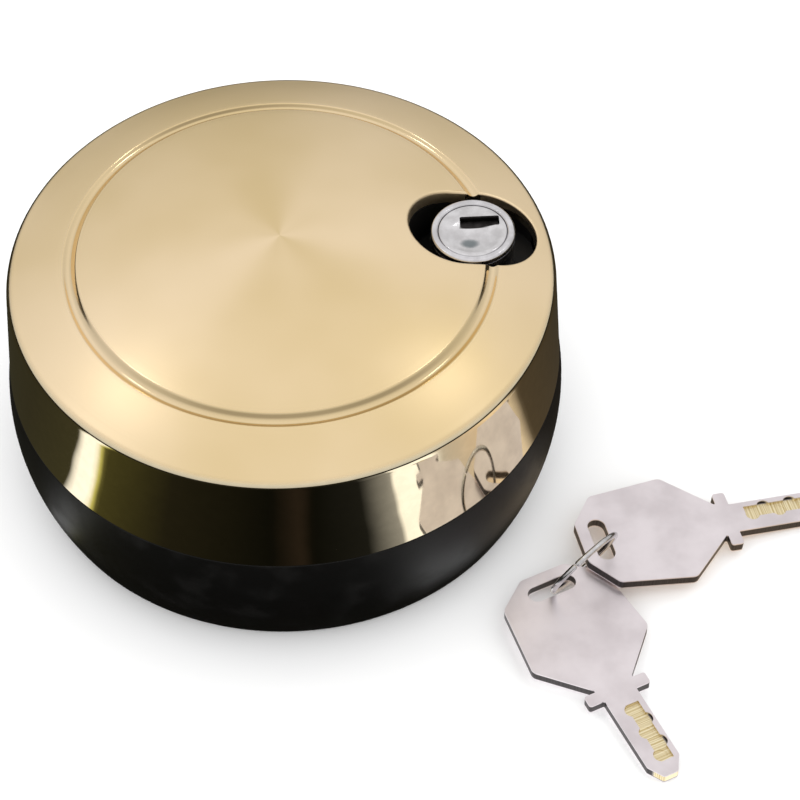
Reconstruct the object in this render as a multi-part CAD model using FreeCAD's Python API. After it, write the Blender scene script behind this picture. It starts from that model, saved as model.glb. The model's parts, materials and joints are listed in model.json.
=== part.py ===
import FreeCAD, Part
import math
import os

from FreeCAD import Placement, Rotation, Vector

# Lockable deck fill cap with its two keys.  Millimetres, +Z up.  The origin is on the cap's axis, in the
# plane of the deck flange, which is also the mouth of the threaded socket.  The brass cover turns freely
# round the screw cap until the key drives the locking bolt into one of the hub's notches.

# --- threaded socket and screw cap ----------------------------------------------------------------
THREAD_MINOR_R = 28.33      # G2 pipe thread, bored at its minor diameter
SOCKET_DEPTH = 16.0
SOCKET_WALL = 5.2
GASKET_T = 2.5
GASKET_BITE = 2.6           # how far the gasket's recess is wider than the thread
GASKET_SEAT = 4.83          # how far the gasket comes in from the thread
GASKET_PLAY = 0.05
END_WALL = 3.5
FLANGE_REACH = 3.1
FLANGE_T = 3.2
HUB_R = 20.0
HUB_OVER_BOLT = 1.8
HUB_POCKET_R = 9.0
HUB_POCKET_FLOOR = 2.0
NOTCHES = 12
NOTCH_SIDE_GAP = 0.4
NOTCH_END_GAP = 0.36

# --- how the screw cap is held in the skirt -------------------------------------------------------
RUNNING = 0.07              # radial clearance of a running fit
SEAT = 0.02                 # radial clearance of a seated piece
FLANGE_GAP = 0.6
THRUST_T = 1.1
THRUST_PLAY = 0.15
THRUST_W = 5.5
BUSH_WALL = 2.0
CLIP_T = 1.5
CLIP_SIDE_PLAY = 0.1
CLIP_TO_FLANGE = 0.5
CLIP_TO_SOCKET = 0.9
CLIP_SEAT_DEPTH = 1.1
CLIP_SEAT_WALL = 0.35       # between the ring's seat and a screw's counterbore
CLIP_GAP_DEG = 18.0
CLIP_EYE_R = 0.9
CLIP_EYE_RIM = 1.08         # between an eye and the ring's end

# --- skirt ----------------------------------------------------------------------------------------
WEB_T = 3.0
SEAM_BELOW_WEB_TOP = 1.7
FOOT_INSET = 3.7            # foot of the skirt, in from the seam
SKIRT_BULGE = 2.0
SKIRT_WALL = 3.2
SKIRT_INNER_WALL = 2.6
SKIRT_ROOF = 3.4
SKIRT_RIBS = 24
RIB_T = 1.6
FOOT_CHAMFER = 0.7
SPIGOT_H = 4.8
SPIGOT_WALL = 3.1
SPIGOT_GAP = 0.15
COVER_SEAL_R = 0.9          # section radius of the seal round the spigot
SEAL_SIDE_PLAY = 0.1

# --- brass cover ----------------------------------------------------------------------------------
COVER_R = 50.0              # at the shoulder, under the rounded edge
BAND_FLARE = 1.1            # how far the band widens down to the seam
EDGE_INSET = 1.6            # where the crowned top meets the rounded edge, in from the shoulder
EDGE_DROP = 2.0
EDGE_BULGE_OUT = 0.32       # of the rounded edge, beyond its chord
EDGE_BULGE_UP = 0.24
BAND_H = 21.6               # seam to edge
CROWN_RISE = 9.4
COVER_WALL = 2.8
GROOVE_MID_R = 38.25
GROOVE_W = 2.3
GROOVE_DEPTH = 0.9
BOSS_WALL = 1.6
BOSS_COUNT = 4
BOSS_PLAY = 0.1
COVER_SCREW_R = 1.75
COVER_SCREW_HEAD_R = 2.9
COVER_SCREW_HEAD_H = 2.4
COVER_SCREW_CROSS_L = 3.48
COVER_SCREW_CROSS_W = 0.9
COVER_SCREW_GRIP = 9.5      # how deep a screw goes into its boss
COVER_SCREW_SEAT = 4.0      # from the head's seat up to the web's underside
HEAD_PLAY = 0.25
HOLE_PLAY = 0.05

# --- lock -----------------------------------------------------------------------------------------
LOCK_ANGLE = 7.6            # degrees round the cap's axis, from +X
BRACKET_TO_WALL = 0.79      # corner of the lock's bracket to the cover's inner wall
LOCK_RECESS = 0.9           # lock face below the crown
WINDOW_END = 4.0            # open space beside the barrel, along the window
WINDOW_SIDE = 1.15          # and across it
SHROUD_WALL = 1.4
SHROUD_GAP = 0.25
SHROUD_FLOOR_T = 2.6
POCKET_DEPTH = 8.5          # shroud floor below the lock face
BARREL_WALL = 1.38
BARREL_FLANGE_T = 2.6
BARREL_FLANGE_RIM = 1.05    # beyond the barrel
BARREL_FLANGE_EAR = 2.8     # beyond a lock screw's axis
BARREL_END_WALL = 1.2
BARREL_SEAL_R = 0.75
BEZEL_H = 1.4
BEZEL_CHAMFER = 0.4
PLUG_R = 6.3
PLUG_FACE_DROP = 0.2
PLUG_TAIL_R = 3.5
PLUG_END_PLAY = 0.1
TAIL_SQUARE = 4.0
LOCK_SCREW_R = 1.25
LOCK_SCREW_HEAD_R = 2.3
LOCK_SCREW_HEAD_H = 1.6
LOCK_SCREW_SLOT_W = 0.7
LOCK_SCREW_GAP = 0.85       # head to barrel
LOCK_SCREW_GRIP = 4.0

# --- keyway, shutter and wafers, from the lock axis with X along the keyway -----------------------
KEYWAY_END_PLAY = 0.35      # round the key's blade
KEYWAY_SIDE_PLAY = 0.15
KEYWAY_X = 1.4
KEYWAY_Y = 2.3
KEYWAY_FLOOR = 3.2          # above the plug's lower end
DISH_R = 5.2
DISH_DEPTH = 0.9
DISH_Y = -1.9
DISH_RIM = 0.9              # flat left round the dish
SHUTTER_T = 0.45
SHUTTER_DROP = 1.2          # shutter's top below the plug's face
SHUTTER_PLAY = 0.12
SHUTTER_HINGE_BACK = 0.5    # hinge line beyond the keyway's edge
SHUTTER_PIN_R = 0.3
SHUTTER_PIN_BITE = 0.55     # how far each end goes into the plug
SHUTTER_PIN_END = 0.05
SHUTTER_KNUCKLE_R = 0.55
SHUTTER_POCKET_DEPTH = 3.4
SHUTTER_SPRING_L = 1.3
SHUTTER_SPRING_WIRE_R = 0.09
SHUTTER_SPRING_TURNS = 4
WAFERS = 4
WAFER_T = 0.9
WAFER_PITCH = 1.8
WAFER_SIDE = 1.0            # wafer's rim beside the keyway
WAFER_SINK = 0.08
WAFER_PLAY = 0.05
WAFER_SPRING_R = 0.45
WAFER_SPRING_WIRE_R = 0.09
WAFER_SPRING_L = 4.4
WAFER_SPRING_TURNS = 8

# --- crank and locking bolt -----------------------------------------------------------------------
CRANK_THROW = 4.2
CRANK_SWEEP = 90.0          # degrees of key turn, half of it each side of square to the bolt
CRANK_RIM = 1.15            # round the drive pin
CRANK_T = 1.9
CRANK_GAP = 0.2
CRANK_WELL_GAP = 0.6
DRIVE_PIN_R = 1.25
DRIVE_PIN_SHORT = 0.5       # pin's end above the bolt's underside
CRANK_SCREW_R = 1.0
CRANK_SCREW_L = 5.0
CRANK_SCREW_END = 0.5
CRANK_SCREW_HEAD_R = 1.9
CRANK_SCREW_HEAD_H = 0.7
BRACKET_T = 2.4
BRACKET_MARGIN = 2.2
BOLT_T = 3.6
BOLT_LIFT = 0.2
BOLT_RIM = 0.55             # beyond the drive pin's path
BOLT_TIP_W = 5.0
BOLT_TAIL = 7.2             # behind the lock axis
BOLT_SIDE_PLAY = 0.15
BOLT_SLOT_PLAY = 0.3
BOLT_HUB_GAP = 0.6
BOLT_HEADROOM = 1.0
GUIDE_EDGE = 3.25           # beyond a lock screw's axis
GUIDE_L = 14.0

# --- keys and ring --------------------------------------------------------------------------------
KEY_T = 2.0
BOW_END_HALF = 4.5
BOW_SHOULDER_AT = 4.5
BOW_SHOULDER_HALF = 10.3
BOW_WIDEST_AT = 18.8
BOW_WIDEST_HALF = 11.9
BOW_L = 25.0
NECK_HALF = 3.0
STOP_AT = 27.5
STOP_L = 2.4
STOP_HALF = 6.2
BLADE_HALF = 3.25
KEY_L = 48.5
TIP_HALF = 1.4
TIP_L = 3.0
BOW_CORNER_R = 1.6
KEY_SLOT_AT = 3.9
KEY_SLOT_L = 9.6
KEY_SLOT_W = 3.4
TRACK_START = 2.5           # from the stop
TRACK_DEPTH = 0.55
TRACK_W = 2.6
TRACK_OFF = 0.9
TRACK_DIMPLES = 5
DIMPLE_R = 1.35
RING_R = 7.6
RING_WIRE_R = 0.55
RING_OUT = 15.52            # ring's centre, out from the seam
RING_BEARING = -37.44       # and round from +X, degrees
RING_UP = 7.85
RING_TILT = 69.0            # degrees from flat
RING_TURN = 42.0            # heading of the low side of the ring, degrees from +Y towards -X
KEY_A_BACK = Vector(-7.6, 1.4, 0)         # far end of the bow from the ring's centre, in plan
KEY_A_UNDER = -0.2          # underside of that end, from one key's thickness above the deck
KEY_A_HEADING = -66.4
KEY_B_BACK = Vector(-0.1, 5.9, 0)
KEY_B_UNDER = 2.2
KEY_B_HEADING = 12.0

# --- heights and radii that follow ----------------------------------------------------------------
cap_top = SOCKET_DEPTH + GASKET_T + END_WALL
flange_under = cap_top - FLANGE_T
web_under = cap_top + THRUST_T + 2 * THRUST_PLAY
web_top = web_under + WEB_T
seam_z = web_top - SEAM_BELOW_WEB_TOP
edge_z = seam_z + BAND_H
socket_r = THREAD_MINOR_R + SOCKET_WALL
flange_r = socket_r + FLANGE_REACH
skirt_in_r = flange_r + FLANGE_GAP
bush_out_r = HUB_R + RUNNING + BUSH_WALL
screw_circle_r = skirt_in_r + CLIP_SEAT_DEPTH + COVER_SCREW_HEAD_R + HEAD_PLAY + CLIP_SEAT_WALL
seam_r = COVER_R + BAND_FLARE
foot_r = seam_r - FOOT_INSET
edge_r = COVER_R - EDGE_INSET
crown_r = (edge_r ** 2 + CROWN_RISE ** 2) / (2 * CROWN_RISE)
crown_centre_z = edge_z + CROWN_RISE - crown_r
cover_in_r = COVER_R - COVER_WALL
spigot_r = cover_in_r - SPIGOT_GAP
spigot_top = seam_z + SPIGOT_H
boss_r = COVER_SCREW_R + HOLE_PLAY + BOSS_WALL
screw_seat_z = web_under - COVER_SCREW_SEAT
clip_top = flange_under - CLIP_TO_FLANGE
barrel_r = PLUG_R + RUNNING + BARREL_WALL
window_l = 2 * (barrel_r + WINDOW_END)
window_w = 2 * (barrel_r + WINDOW_SIDE)
bracket_half_l = barrel_r + BARREL_FLANGE_RIM
lock_screw_out = barrel_r + LOCK_SCREW_HEAD_R + LOCK_SCREW_GAP
guide_out = lock_screw_out + GUIDE_EDGE
lock_r = math.sqrt((cover_in_r - BRACKET_TO_WALL) ** 2 - guide_out ** 2) - bracket_half_l
lock_x = lock_r * math.cos(math.radians(LOCK_ANGLE))
lock_y = lock_r * math.sin(math.radians(LOCK_ANGLE))
bolt_under = web_top + BOLT_LIFT
bolt_top = bolt_under + BOLT_T
crank_under = bolt_top + BOLT_HEADROOM
barrel_base = crank_under + CRANK_T + CRANK_GAP
bracket_under = barrel_base - BRACKET_T
pin_reach = CRANK_THROW * math.sin(math.radians(CRANK_SWEEP / 2))
pin_side = CRANK_THROW * math.cos(math.radians(CRANK_SWEEP / 2))
bolt_travel = 2 * pin_reach
crank_r = CRANK_THROW + DRIVE_PIN_R + CRANK_RIM
bolt_half = CRANK_THROW + DRIVE_PIN_R + BOLT_RIM
guide_in = bolt_half + BOLT_SIDE_PLAY
notch_w = BOLT_TIP_W + 2 * NOTCH_SIDE_GAP
notch_floor_r = HUB_R + BOLT_HUB_GAP - bolt_travel - NOTCH_END_GAP
hub_top = bolt_top + HUB_OVER_BOLT
keyway_l = 2 * (BLADE_HALF + KEYWAY_END_PLAY)
keyway_w = KEY_T + 2 * KEYWAY_SIDE_PLAY
ring_out = seam_r + RING_OUT
ring_bearing = math.radians(RING_BEARING)
ring_centre = Vector(ring_out * math.cos(ring_bearing), ring_out * math.sin(ring_bearing), RING_UP)


def crown_z(r, inset=0.0):
    """Height of the crowned top at radius r, or of a surface that lies inset below it."""
    return crown_centre_z + math.sqrt((crown_r - inset) ** 2 - r ** 2)


lock_face_z = crown_z(lock_r) - LOCK_RECESS
plug_face_z = lock_face_z - PLUG_FACE_DROP
plug_under = barrel_base + BARREL_END_WALL + PLUG_END_PLAY


# --- shapes used throughout -----------------------------------------------------------------------
def disc(r, z0, z1, x=0.0, y=0.0):
    """Upright cylinder."""
    return Part.makeCylinder(r, z1 - z0, Vector(x, y, z0))


def ring(r_in, r_out, z0, z1):
    """Flat ring about the Z axis."""
    return disc(r_out, z0, z1).cut(disc(r_in, z0 - 1, z1 + 1))


def block(x0, x1, y0, y1, z0, z1):
    """Box between two corners."""
    return Part.makeBox(x1 - x0, y1 - y0, z1 - z0, Vector(x0, y0, z0))


def obround(length, width, z0, z1):
    """Upright slot shape along X, centred on the Z axis."""
    half = (length - width) / 2
    middle = block(-half, half, -width / 2, width / 2, z0, z1)
    return middle.fuse([disc(width / 2, z0, z1, half), disc(width / 2, z0, z1, -half)]).removeSplitter()


def arc(a, b, c):
    """Arc in the XZ plane through three (r, z) points."""
    points = [Vector(r, 0, z) for r, z in (a, b, c)]
    return Part.Arc(*points).toShape()


def line(a, b):
    """Line in the XZ plane between two (r, z) points."""
    return Part.makeLine(Vector(a[0], 0, a[1]), Vector(b[0], 0, b[1]))


def path(*points):
    """Lines through (r, z) points in order."""
    return [line(a, b) for a, b in zip(points, points[1:])]


def turned(edges):
    """Solid of revolution about Z of a closed profile."""
    face = Part.Face(Part.Wire(Part.__sortEdges__(edges)))
    return face.revolve(Vector(0, 0, 0), Vector(0, 0, 1), 360)


def spun(shape, degrees):
    """Copy turned about the Z axis."""
    copy = shape.copy()
    copy.rotate(Vector(0, 0, 0), Vector(0, 0, 1), degrees)
    return copy


def moved(shape, x, y, z=0.0):
    """Copy moved along a vector."""
    copy = shape.copy()
    copy.translate(Vector(x, y, z))
    return copy


def at_lock(shape):
    """Moves a piece built round the Z axis to the lock axis, its X pointing away from the cap's axis."""
    return moved(spun(shape, LOCK_ANGLE), lock_x, lock_y)


def at_keyway(shape):
    """Moves a piece built round the Z axis to the lock axis, its X along the keyway."""
    return moved(shape, lock_x, lock_y)


def circle_edges(shape, radius, z):
    """Round edges about Z of a given radius and height."""
    found = []
    for edge in shape.Edges:
        if isinstance(edge.Curve, Part.Circle) and abs(edge.Curve.Radius - radius) < 1e-4:
            if abs(edge.Curve.Center.z - z) < 1e-4:
                found.append(edge)
    return found


def coil(radius, wire_r, length, turns):
    """Compression spring standing on z = 0, as one swept wire."""
    spine = Part.makeHelix(length / turns, length, radius)
    start = Part.Circle(Vector(radius, 0, 0), Vector(0, 1, 0), wire_r).toShape()
    return Part.Wire(spine).makePipeShell([Part.Wire(start)], True, True)


def rounded_outline(points, radius):
    """Closed wire through (x, y) points, each corner rounded."""
    count = len(points)
    starts, middles, ends = [], [], []
    for i in range(count):
        corner = Vector(*points[i], 0)
        back = (Vector(*points[i - 1], 0) - corner).normalize()
        ahead = (Vector(*points[(i + 1) % count], 0) - corner).normalize()
        half = back.getAngle(ahead) / 2
        reach = radius / math.tan(half)
        toward = (back + ahead).normalize()
        starts.append(corner + back * reach)
        ends.append(corner + ahead * reach)
        middles.append(corner + toward * (radius / math.sin(half) - radius))
    edges = []
    for i in range(count):
        edges.append(Part.Arc(starts[i], middles[i], ends[i]).toShape())
        edges.append(Part.makeLine(ends[i], starts[(i + 1) % count]))
    return Part.Wire(edges)


# --- brass cover ----------------------------------------------------------------------------------
def screw_places():
    """Centres of the cover screws, evenly spaced and clear of the lock."""
    step = 360.0 / BOSS_COUNT
    angles = [math.radians(LOCK_ANGLE + step * (i + 0.5)) for i in range(BOSS_COUNT)]
    return [(screw_circle_r * math.cos(a), screw_circle_r * math.sin(a)) for a in angles]


def cover_inside(gap):
    """The space inside the brass cover, kept a gap away from its wall."""
    wall_r = cover_in_r - gap
    inset = COVER_WALL + gap
    corner_z = crown_z(wall_r, inset)
    foot = seam_z - 1
    edges = path((0, foot), (wall_r, foot), (wall_r, corner_z))
    middle_r = wall_r / 2
    peak = (0, crown_z(0, inset))
    edges.append(arc((wall_r, corner_z), (middle_r, crown_z(middle_r, inset)), peak))
    edges.append(line(peak, (0, foot)))
    return turned(edges)


def make_brass_cover():
    """Turned shell: crowned top with a ring groove and the lock's window, and a flared polished band."""
    peak = (0, crown_z(0))
    edge = (edge_r, edge_z)
    shoulder = (COVER_R, edge_z - EDGE_DROP)
    middle = ((edge_r + COVER_R) / 2 + EDGE_BULGE_OUT, edge_z - EDGE_DROP / 2 + EDGE_BULGE_UP)
    edges = [arc(peak, (edge_r / 2, crown_z(edge_r / 2)), edge), arc(edge, middle, shoulder)]
    edges += path(shoulder, (seam_r, seam_z), (0, seam_z), peak)
    shell = turned(edges).cut(cover_inside(0.0))
    bosses = [disc(boss_r, spigot_top + BOSS_PLAY, edge_z + CROWN_RISE, x, y) for x, y in screw_places()]
    inside = cover_inside(-COVER_WALL / 2)
    shell = shell.fuse([boss.common(inside) for boss in bosses])
    hole_r = COVER_SCREW_R + HOLE_PLAY
    hole_top = spigot_top + COVER_SCREW_GRIP + 1
    shell = shell.cut([disc(hole_r, spigot_top, hole_top, x, y) for x, y in screw_places()])
    window = at_lock(obround(window_l, window_w, spigot_top, edge_z + CROWN_RISE))
    shell = shell.cut(window)
    slope = math.asin(GROOVE_MID_R / crown_r)
    groove_r = ((GROOVE_W / 2) ** 2 + GROOVE_DEPTH ** 2) / (2 * GROOVE_DEPTH)
    lift = groove_r - GROOVE_DEPTH
    groove_at = Vector(0, 0, crown_z(GROOVE_MID_R) + lift * math.cos(slope))
    groove = Part.makeTorus(GROOVE_MID_R + lift * math.sin(slope), groove_r, groove_at)
    shell = shell.cut(groove)
    return shell.removeSplitter()


def make_cover_screws():
    """Pan-head screws driven up through the skirt into the cover's bosses."""
    screws = []
    tip = spigot_top + COVER_SCREW_GRIP
    head_z = screw_seat_z - COVER_SCREW_HEAD_H
    slot_top = screw_seat_z - COVER_SCREW_HEAD_H / 2
    arm = COVER_SCREW_CROSS_L / 2
    half = COVER_SCREW_CROSS_W / 2
    for x, y in screw_places():
        head = disc(COVER_SCREW_HEAD_R, head_z, screw_seat_z, x, y)
        head = head.makeFillet(COVER_SCREW_HEAD_H / 3, circle_edges(head, COVER_SCREW_HEAD_R, head_z))
        cross = block(-arm, arm, -half, half, head_z - 1, slot_top)
        cross = cross.fuse(block(-half, half, -arm, arm, head_z - 1, slot_top))
        shank = disc(COVER_SCREW_R, screw_seat_z, tip, x, y)
        screws.append(head.fuse(shank).cut(moved(cross, x, y)).removeSplitter())
    return Part.makeCompound(screws)


# --- skirt ----------------------------------------------------------------------------------------
def make_skirt_base():
    """Black moulded base: bulged wall, ribbed core, web with the bolt's guides, spigot for the cover."""
    hole_r = bush_out_r + SEAT
    spigot_in = spigot_r - SPIGOT_WALL
    foot = (foot_r, 0)
    seam = (seam_r, seam_z)
    belly = ((foot_r + seam_r) / 2 + SKIRT_BULGE, seam_z / 2)
    edges = [arc(foot, belly, seam)]
    edges += path(seam, (spigot_r, seam_z), (spigot_r, spigot_top), (spigot_in, spigot_top))
    edges += path((spigot_in, spigot_top), (spigot_in, web_top))
    edges += path((spigot_in, web_top), (hole_r, web_top), (hole_r, web_under), (skirt_in_r, web_under))
    edges += path((skirt_in_r, web_under), (skirt_in_r, 0), foot)
    skirt = turned(edges)
    skirt = skirt.makeChamfer(FOOT_CHAMFER, circle_edges(skirt, foot_r, 0))
    seat_low = clip_top - CLIP_T - CLIP_SIDE_PLAY
    seat = ring(skirt_in_r - 1, skirt_in_r + CLIP_SEAT_DEPTH, seat_low, clip_top + CLIP_SIDE_PLAY)
    seal_r = cover_in_r - SEAT - COVER_SEAL_R
    seal_z = seam_z + SPIGOT_H / 2
    half = COVER_SEAL_R + SEAL_SIDE_PLAY
    seal_groove = ring(seal_r - COVER_SEAL_R - SEAT, cover_in_r + 1, seal_z - half, seal_z + half)
    skirt = skirt.cut([seat, seal_groove, skirt_pockets()])
    skirt = skirt.fuse([disc(boss_r, web_top - 1, spigot_top, x, y) for x, y in screw_places()])
    skirt = skirt.fuse(bolt_guides())
    drills = []
    for x, y in screw_places():
        drills.append(disc(COVER_SCREW_HEAD_R + HEAD_PLAY, -1, screw_seat_z, x, y))
        drills.append(disc(COVER_SCREW_R + HOLE_PLAY, 0, spigot_top + 1, x, y))
    drills += lock_screw_holes(bracket_under - LOCK_SCREW_GRIP, bracket_under + 1)
    return skirt.cut(drills).removeSplitter()


def skirt_pockets():
    """Cored spaces between the skirt's two walls, left between ribs and screw columns."""
    top = web_under - SKIRT_ROOF
    space = ring(skirt_in_r + SKIRT_INNER_WALL, foot_r - SKIRT_WALL, -1, top)
    kept = []
    for i in range(SKIRT_RIBS):
        rib = block(skirt_in_r, foot_r, -RIB_T / 2, RIB_T / 2, -2, top + 1)
        kept.append(spun(rib, LOCK_ANGLE + (i + 0.5) * 360.0 / SKIRT_RIBS))
    column_r = COVER_SCREW_HEAD_R + HEAD_PLAY + RIB_T
    kept += [disc(column_r, -2, top + 1, x, y) for x, y in screw_places()]
    return space.cut(kept)


def bolt_guides():
    """Two blocks on the web, one each side of the bolt, which also carry the lock bracket."""
    guides = []
    for side in (-1, 1):
        y0, y1 = sorted((side * guide_in, side * guide_out))
        guides.append(at_lock(block(-GUIDE_L / 2, GUIDE_L / 2, y0, y1, web_top - 1, bracket_under)))
    return guides


def make_cover_seal():
    """Round seal in the spigot's groove."""
    seal_r = cover_in_r - SEAT - COVER_SEAL_R
    return Part.makeTorus(seal_r, COVER_SEAL_R, Vector(0, 0, seam_z + SPIGOT_H / 2))


def make_hub_bush():
    """Plain bearing pressed into the web, in which the hub turns."""
    return ring(HUB_R + RUNNING, bush_out_r, web_under, web_top)


def make_thrust_washer():
    """Slippery washer between the flange and the web."""
    z0 = cap_top + THRUST_PLAY
    return ring(flange_r - FLANGE_GAP - THRUST_W, flange_r - FLANGE_GAP, z0, z0 + THRUST_T)


def make_retaining_ring():
    """Internal snap ring that holds the screw cap up, with plier eyes each side of its gap."""
    outer = skirt_in_r + CLIP_SEAT_DEPTH - HOLE_PLAY
    inner = socket_r + CLIP_TO_SOCKET
    clip = ring(inner, outer, clip_top - CLIP_T, clip_top)
    half = math.radians(CLIP_GAP_DEG / 2)
    far = outer + 5
    corners = [Vector(0, 0, 0), Vector(far * math.cos(half), far * math.sin(half), 0)]
    corners += [Vector(far * math.cos(half), -far * math.sin(half), 0), Vector(0, 0, 0)]
    wedge = Part.Face(Part.makePolygon(corners)).extrude(Vector(0, 0, web_top))
    clip = clip.cut(wedge)
    middle = (inner + outer) / 2
    for side in (-1, 1):
        a = side * (half + (CLIP_EYE_R + CLIP_EYE_RIM) / middle)
        clip = clip.cut(disc(CLIP_EYE_R, 0, web_top, middle * math.cos(a), middle * math.sin(a)))
    return spun(clip, LOCK_ANGLE + 180)


# --- screw cap ------------------------------------------------------------------------------------
def make_screw_cap():
    """Threaded cap for the filler neck, with a bearing flange and a notched hub for the bolt."""
    recess_r = THREAD_MINOR_R + GASKET_BITE
    body = disc(socket_r, 0, cap_top)
    body = body.fuse([disc(flange_r, flange_under, cap_top), disc(HUB_R, 0, hub_top)])
    recess = disc(recess_r, SOCKET_DEPTH, SOCKET_DEPTH + GASKET_T)
    body = body.cut([disc(THREAD_MINOR_R, -1, SOCKET_DEPTH), recess])
    body = body.cut(disc(HUB_POCKET_R, cap_top + HUB_POCKET_FLOOR, hub_top + 1))
    notch = block(notch_floor_r, HUB_R + 2, -notch_w / 2, notch_w / 2, web_top, hub_top + 1)
    notches = [spun(notch, LOCK_ANGLE + i * 360.0 / NOTCHES) for i in range(NOTCHES)]
    return body.cut(notches).removeSplitter()


def make_neck_gasket():
    """Flat gasket that the filler neck's rim presses on."""
    outer = THREAD_MINOR_R + GASKET_BITE - GASKET_PLAY
    top = SOCKET_DEPTH + GASKET_T - GASKET_PLAY
    return ring(THREAD_MINOR_R - GASKET_SEAT, outer, SOCKET_DEPTH + GASKET_PLAY, top)


# --- lock: fixed pieces ---------------------------------------------------------------------------
def lock_screw_holes(z0, z1):
    """Clearance holes for the two lock screws."""
    radius = LOCK_SCREW_R + HOLE_PLAY
    return [at_lock(disc(radius, z0, z1, 0, side * lock_screw_out)) for side in (-1, 1)]


def make_lock_bracket():
    """Plate over the bolt channel, with a well for the crank."""
    plate = block(-bracket_half_l, bracket_half_l, -guide_out, guide_out, bracket_under, barrel_base)
    upright = [edge for edge in plate.Edges if abs(edge.tangentAt(0).z) > 0.9]
    plate = plate.makeFillet(BRACKET_MARGIN, upright)
    plate = plate.cut([disc(crank_r + CRANK_WELL_GAP, bracket_under - 1, barrel_base + 1)])
    return at_lock(plate).cut(lock_screw_holes(bracket_under - 1, barrel_base + 1))


def make_lock_barrel():
    """Lock body: a flanged tube for the plug, closed below but for the tail's hole."""
    half_w = lock_screw_out + BARREL_FLANGE_EAR
    top = barrel_base + BARREL_FLANGE_T
    flange = block(-bracket_half_l, bracket_half_l, -half_w, half_w, barrel_base, top)
    upright = [edge for edge in flange.Edges if abs(edge.tangentAt(0).z) > 0.9]
    flange = flange.makeFillet(BRACKET_MARGIN, upright)
    barrel = flange.fuse(disc(barrel_r, barrel_base, lock_face_z - BEZEL_H))
    floor = barrel_base + BARREL_END_WALL
    tail_hole = disc(PLUG_TAIL_R + RUNNING, 0, floor + 1)
    barrel = barrel.cut([disc(PLUG_R + RUNNING, floor, lock_face_z), tail_hole])
    return at_lock(barrel).cut(lock_screw_holes(barrel_base - 1, top + 1)).removeSplitter()


def make_lock_screws():
    """The two screws that hold barrel and bracket down on the guides."""
    seat = barrel_base + BARREL_FLANGE_T
    tip = bracket_under - LOCK_SCREW_GRIP + HOLE_PLAY
    screws = []
    for side in (-1, 1):
        y = side * lock_screw_out
        top = seat + LOCK_SCREW_HEAD_H
        screw = disc(LOCK_SCREW_HEAD_R, seat, top, 0, y).fuse(disc(LOCK_SCREW_R, tip, seat, 0, y))
        reach = LOCK_SCREW_HEAD_R
        half = LOCK_SCREW_SLOT_W / 2
        slot = block(-reach, reach, y - half, y + half, top - LOCK_SCREW_HEAD_H / 2, top + 1)
        screws.append(screw.cut(slot).removeSplitter())
    return at_lock(Part.makeCompound(screws))


def make_lock_bezel():
    """Bright ring on the barrel's end, round the plug's face."""
    bezel = ring(PLUG_R + RUNNING, barrel_r, lock_face_z - BEZEL_H, lock_face_z)
    return at_lock(bezel.makeChamfer(BEZEL_CHAMFER, circle_edges(bezel, barrel_r, lock_face_z)))


def make_lock_shroud():
    """Black cup under the window, which closes the cover round the barrel."""
    floor_top = lock_face_z - POCKET_DEPTH
    floor_under = floor_top - SHROUD_FLOOR_T
    ceiling = edge_z + CROWN_RISE
    outside = obround(window_l + 2 * SHROUD_WALL, window_w + 2 * SHROUD_WALL, floor_under, ceiling)
    cup = at_lock(outside).common(cover_inside(SHROUD_GAP))
    cup = cup.cut(at_lock(obround(window_l, window_w, floor_top, ceiling)))
    seal_z = (floor_top + floor_under) / 2
    half = BARREL_SEAL_R + SEAT
    groove = disc(barrel_r + 2 * BARREL_SEAL_R + 2 * SEAT, seal_z - half, seal_z + half)
    return cup.cut([at_lock(disc(barrel_r + HOLE_PLAY, 0, ceiling)), at_lock(groove)]).removeSplitter()


def make_barrel_seal():
    """Round seal between barrel and shroud."""
    seal_z = lock_face_z - POCKET_DEPTH - SHROUD_FLOOR_T / 2
    return at_lock(Part.makeTorus(barrel_r + SEAT + BARREL_SEAL_R, BARREL_SEAL_R, Vector(0, 0, seal_z)))


# --- lock: turning pieces -------------------------------------------------------------------------
def keyway_box(grow, z0, z1):
    """The keyway's box, grown on every side."""
    half_l = keyway_l / 2 + grow
    half_w = keyway_w / 2 + grow
    return block(KEYWAY_X - half_l, KEYWAY_X + half_l, KEYWAY_Y - half_w, KEYWAY_Y + half_w, z0, z1)


def shutter_hinge():
    """Y and Z of the shutter's hinge line, from the lock axis."""
    y = KEYWAY_Y - keyway_w / 2 - SHUTTER_HINGE_BACK
    return y, plug_face_z - SHUTTER_DROP - SHUTTER_KNUCKLE_R


def shutter_ends():
    """X of the two ends of the shutter's hinge line."""
    return KEYWAY_X - keyway_l / 2, KEYWAY_X + keyway_l / 2


def wafer_heights():
    """Underside of each wafer, from the bottom of the keyway up."""
    first = plug_under + KEYWAY_FLOOR + WAFER_T
    return [first + i * WAFER_PITCH for i in range(WAFERS)]


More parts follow.
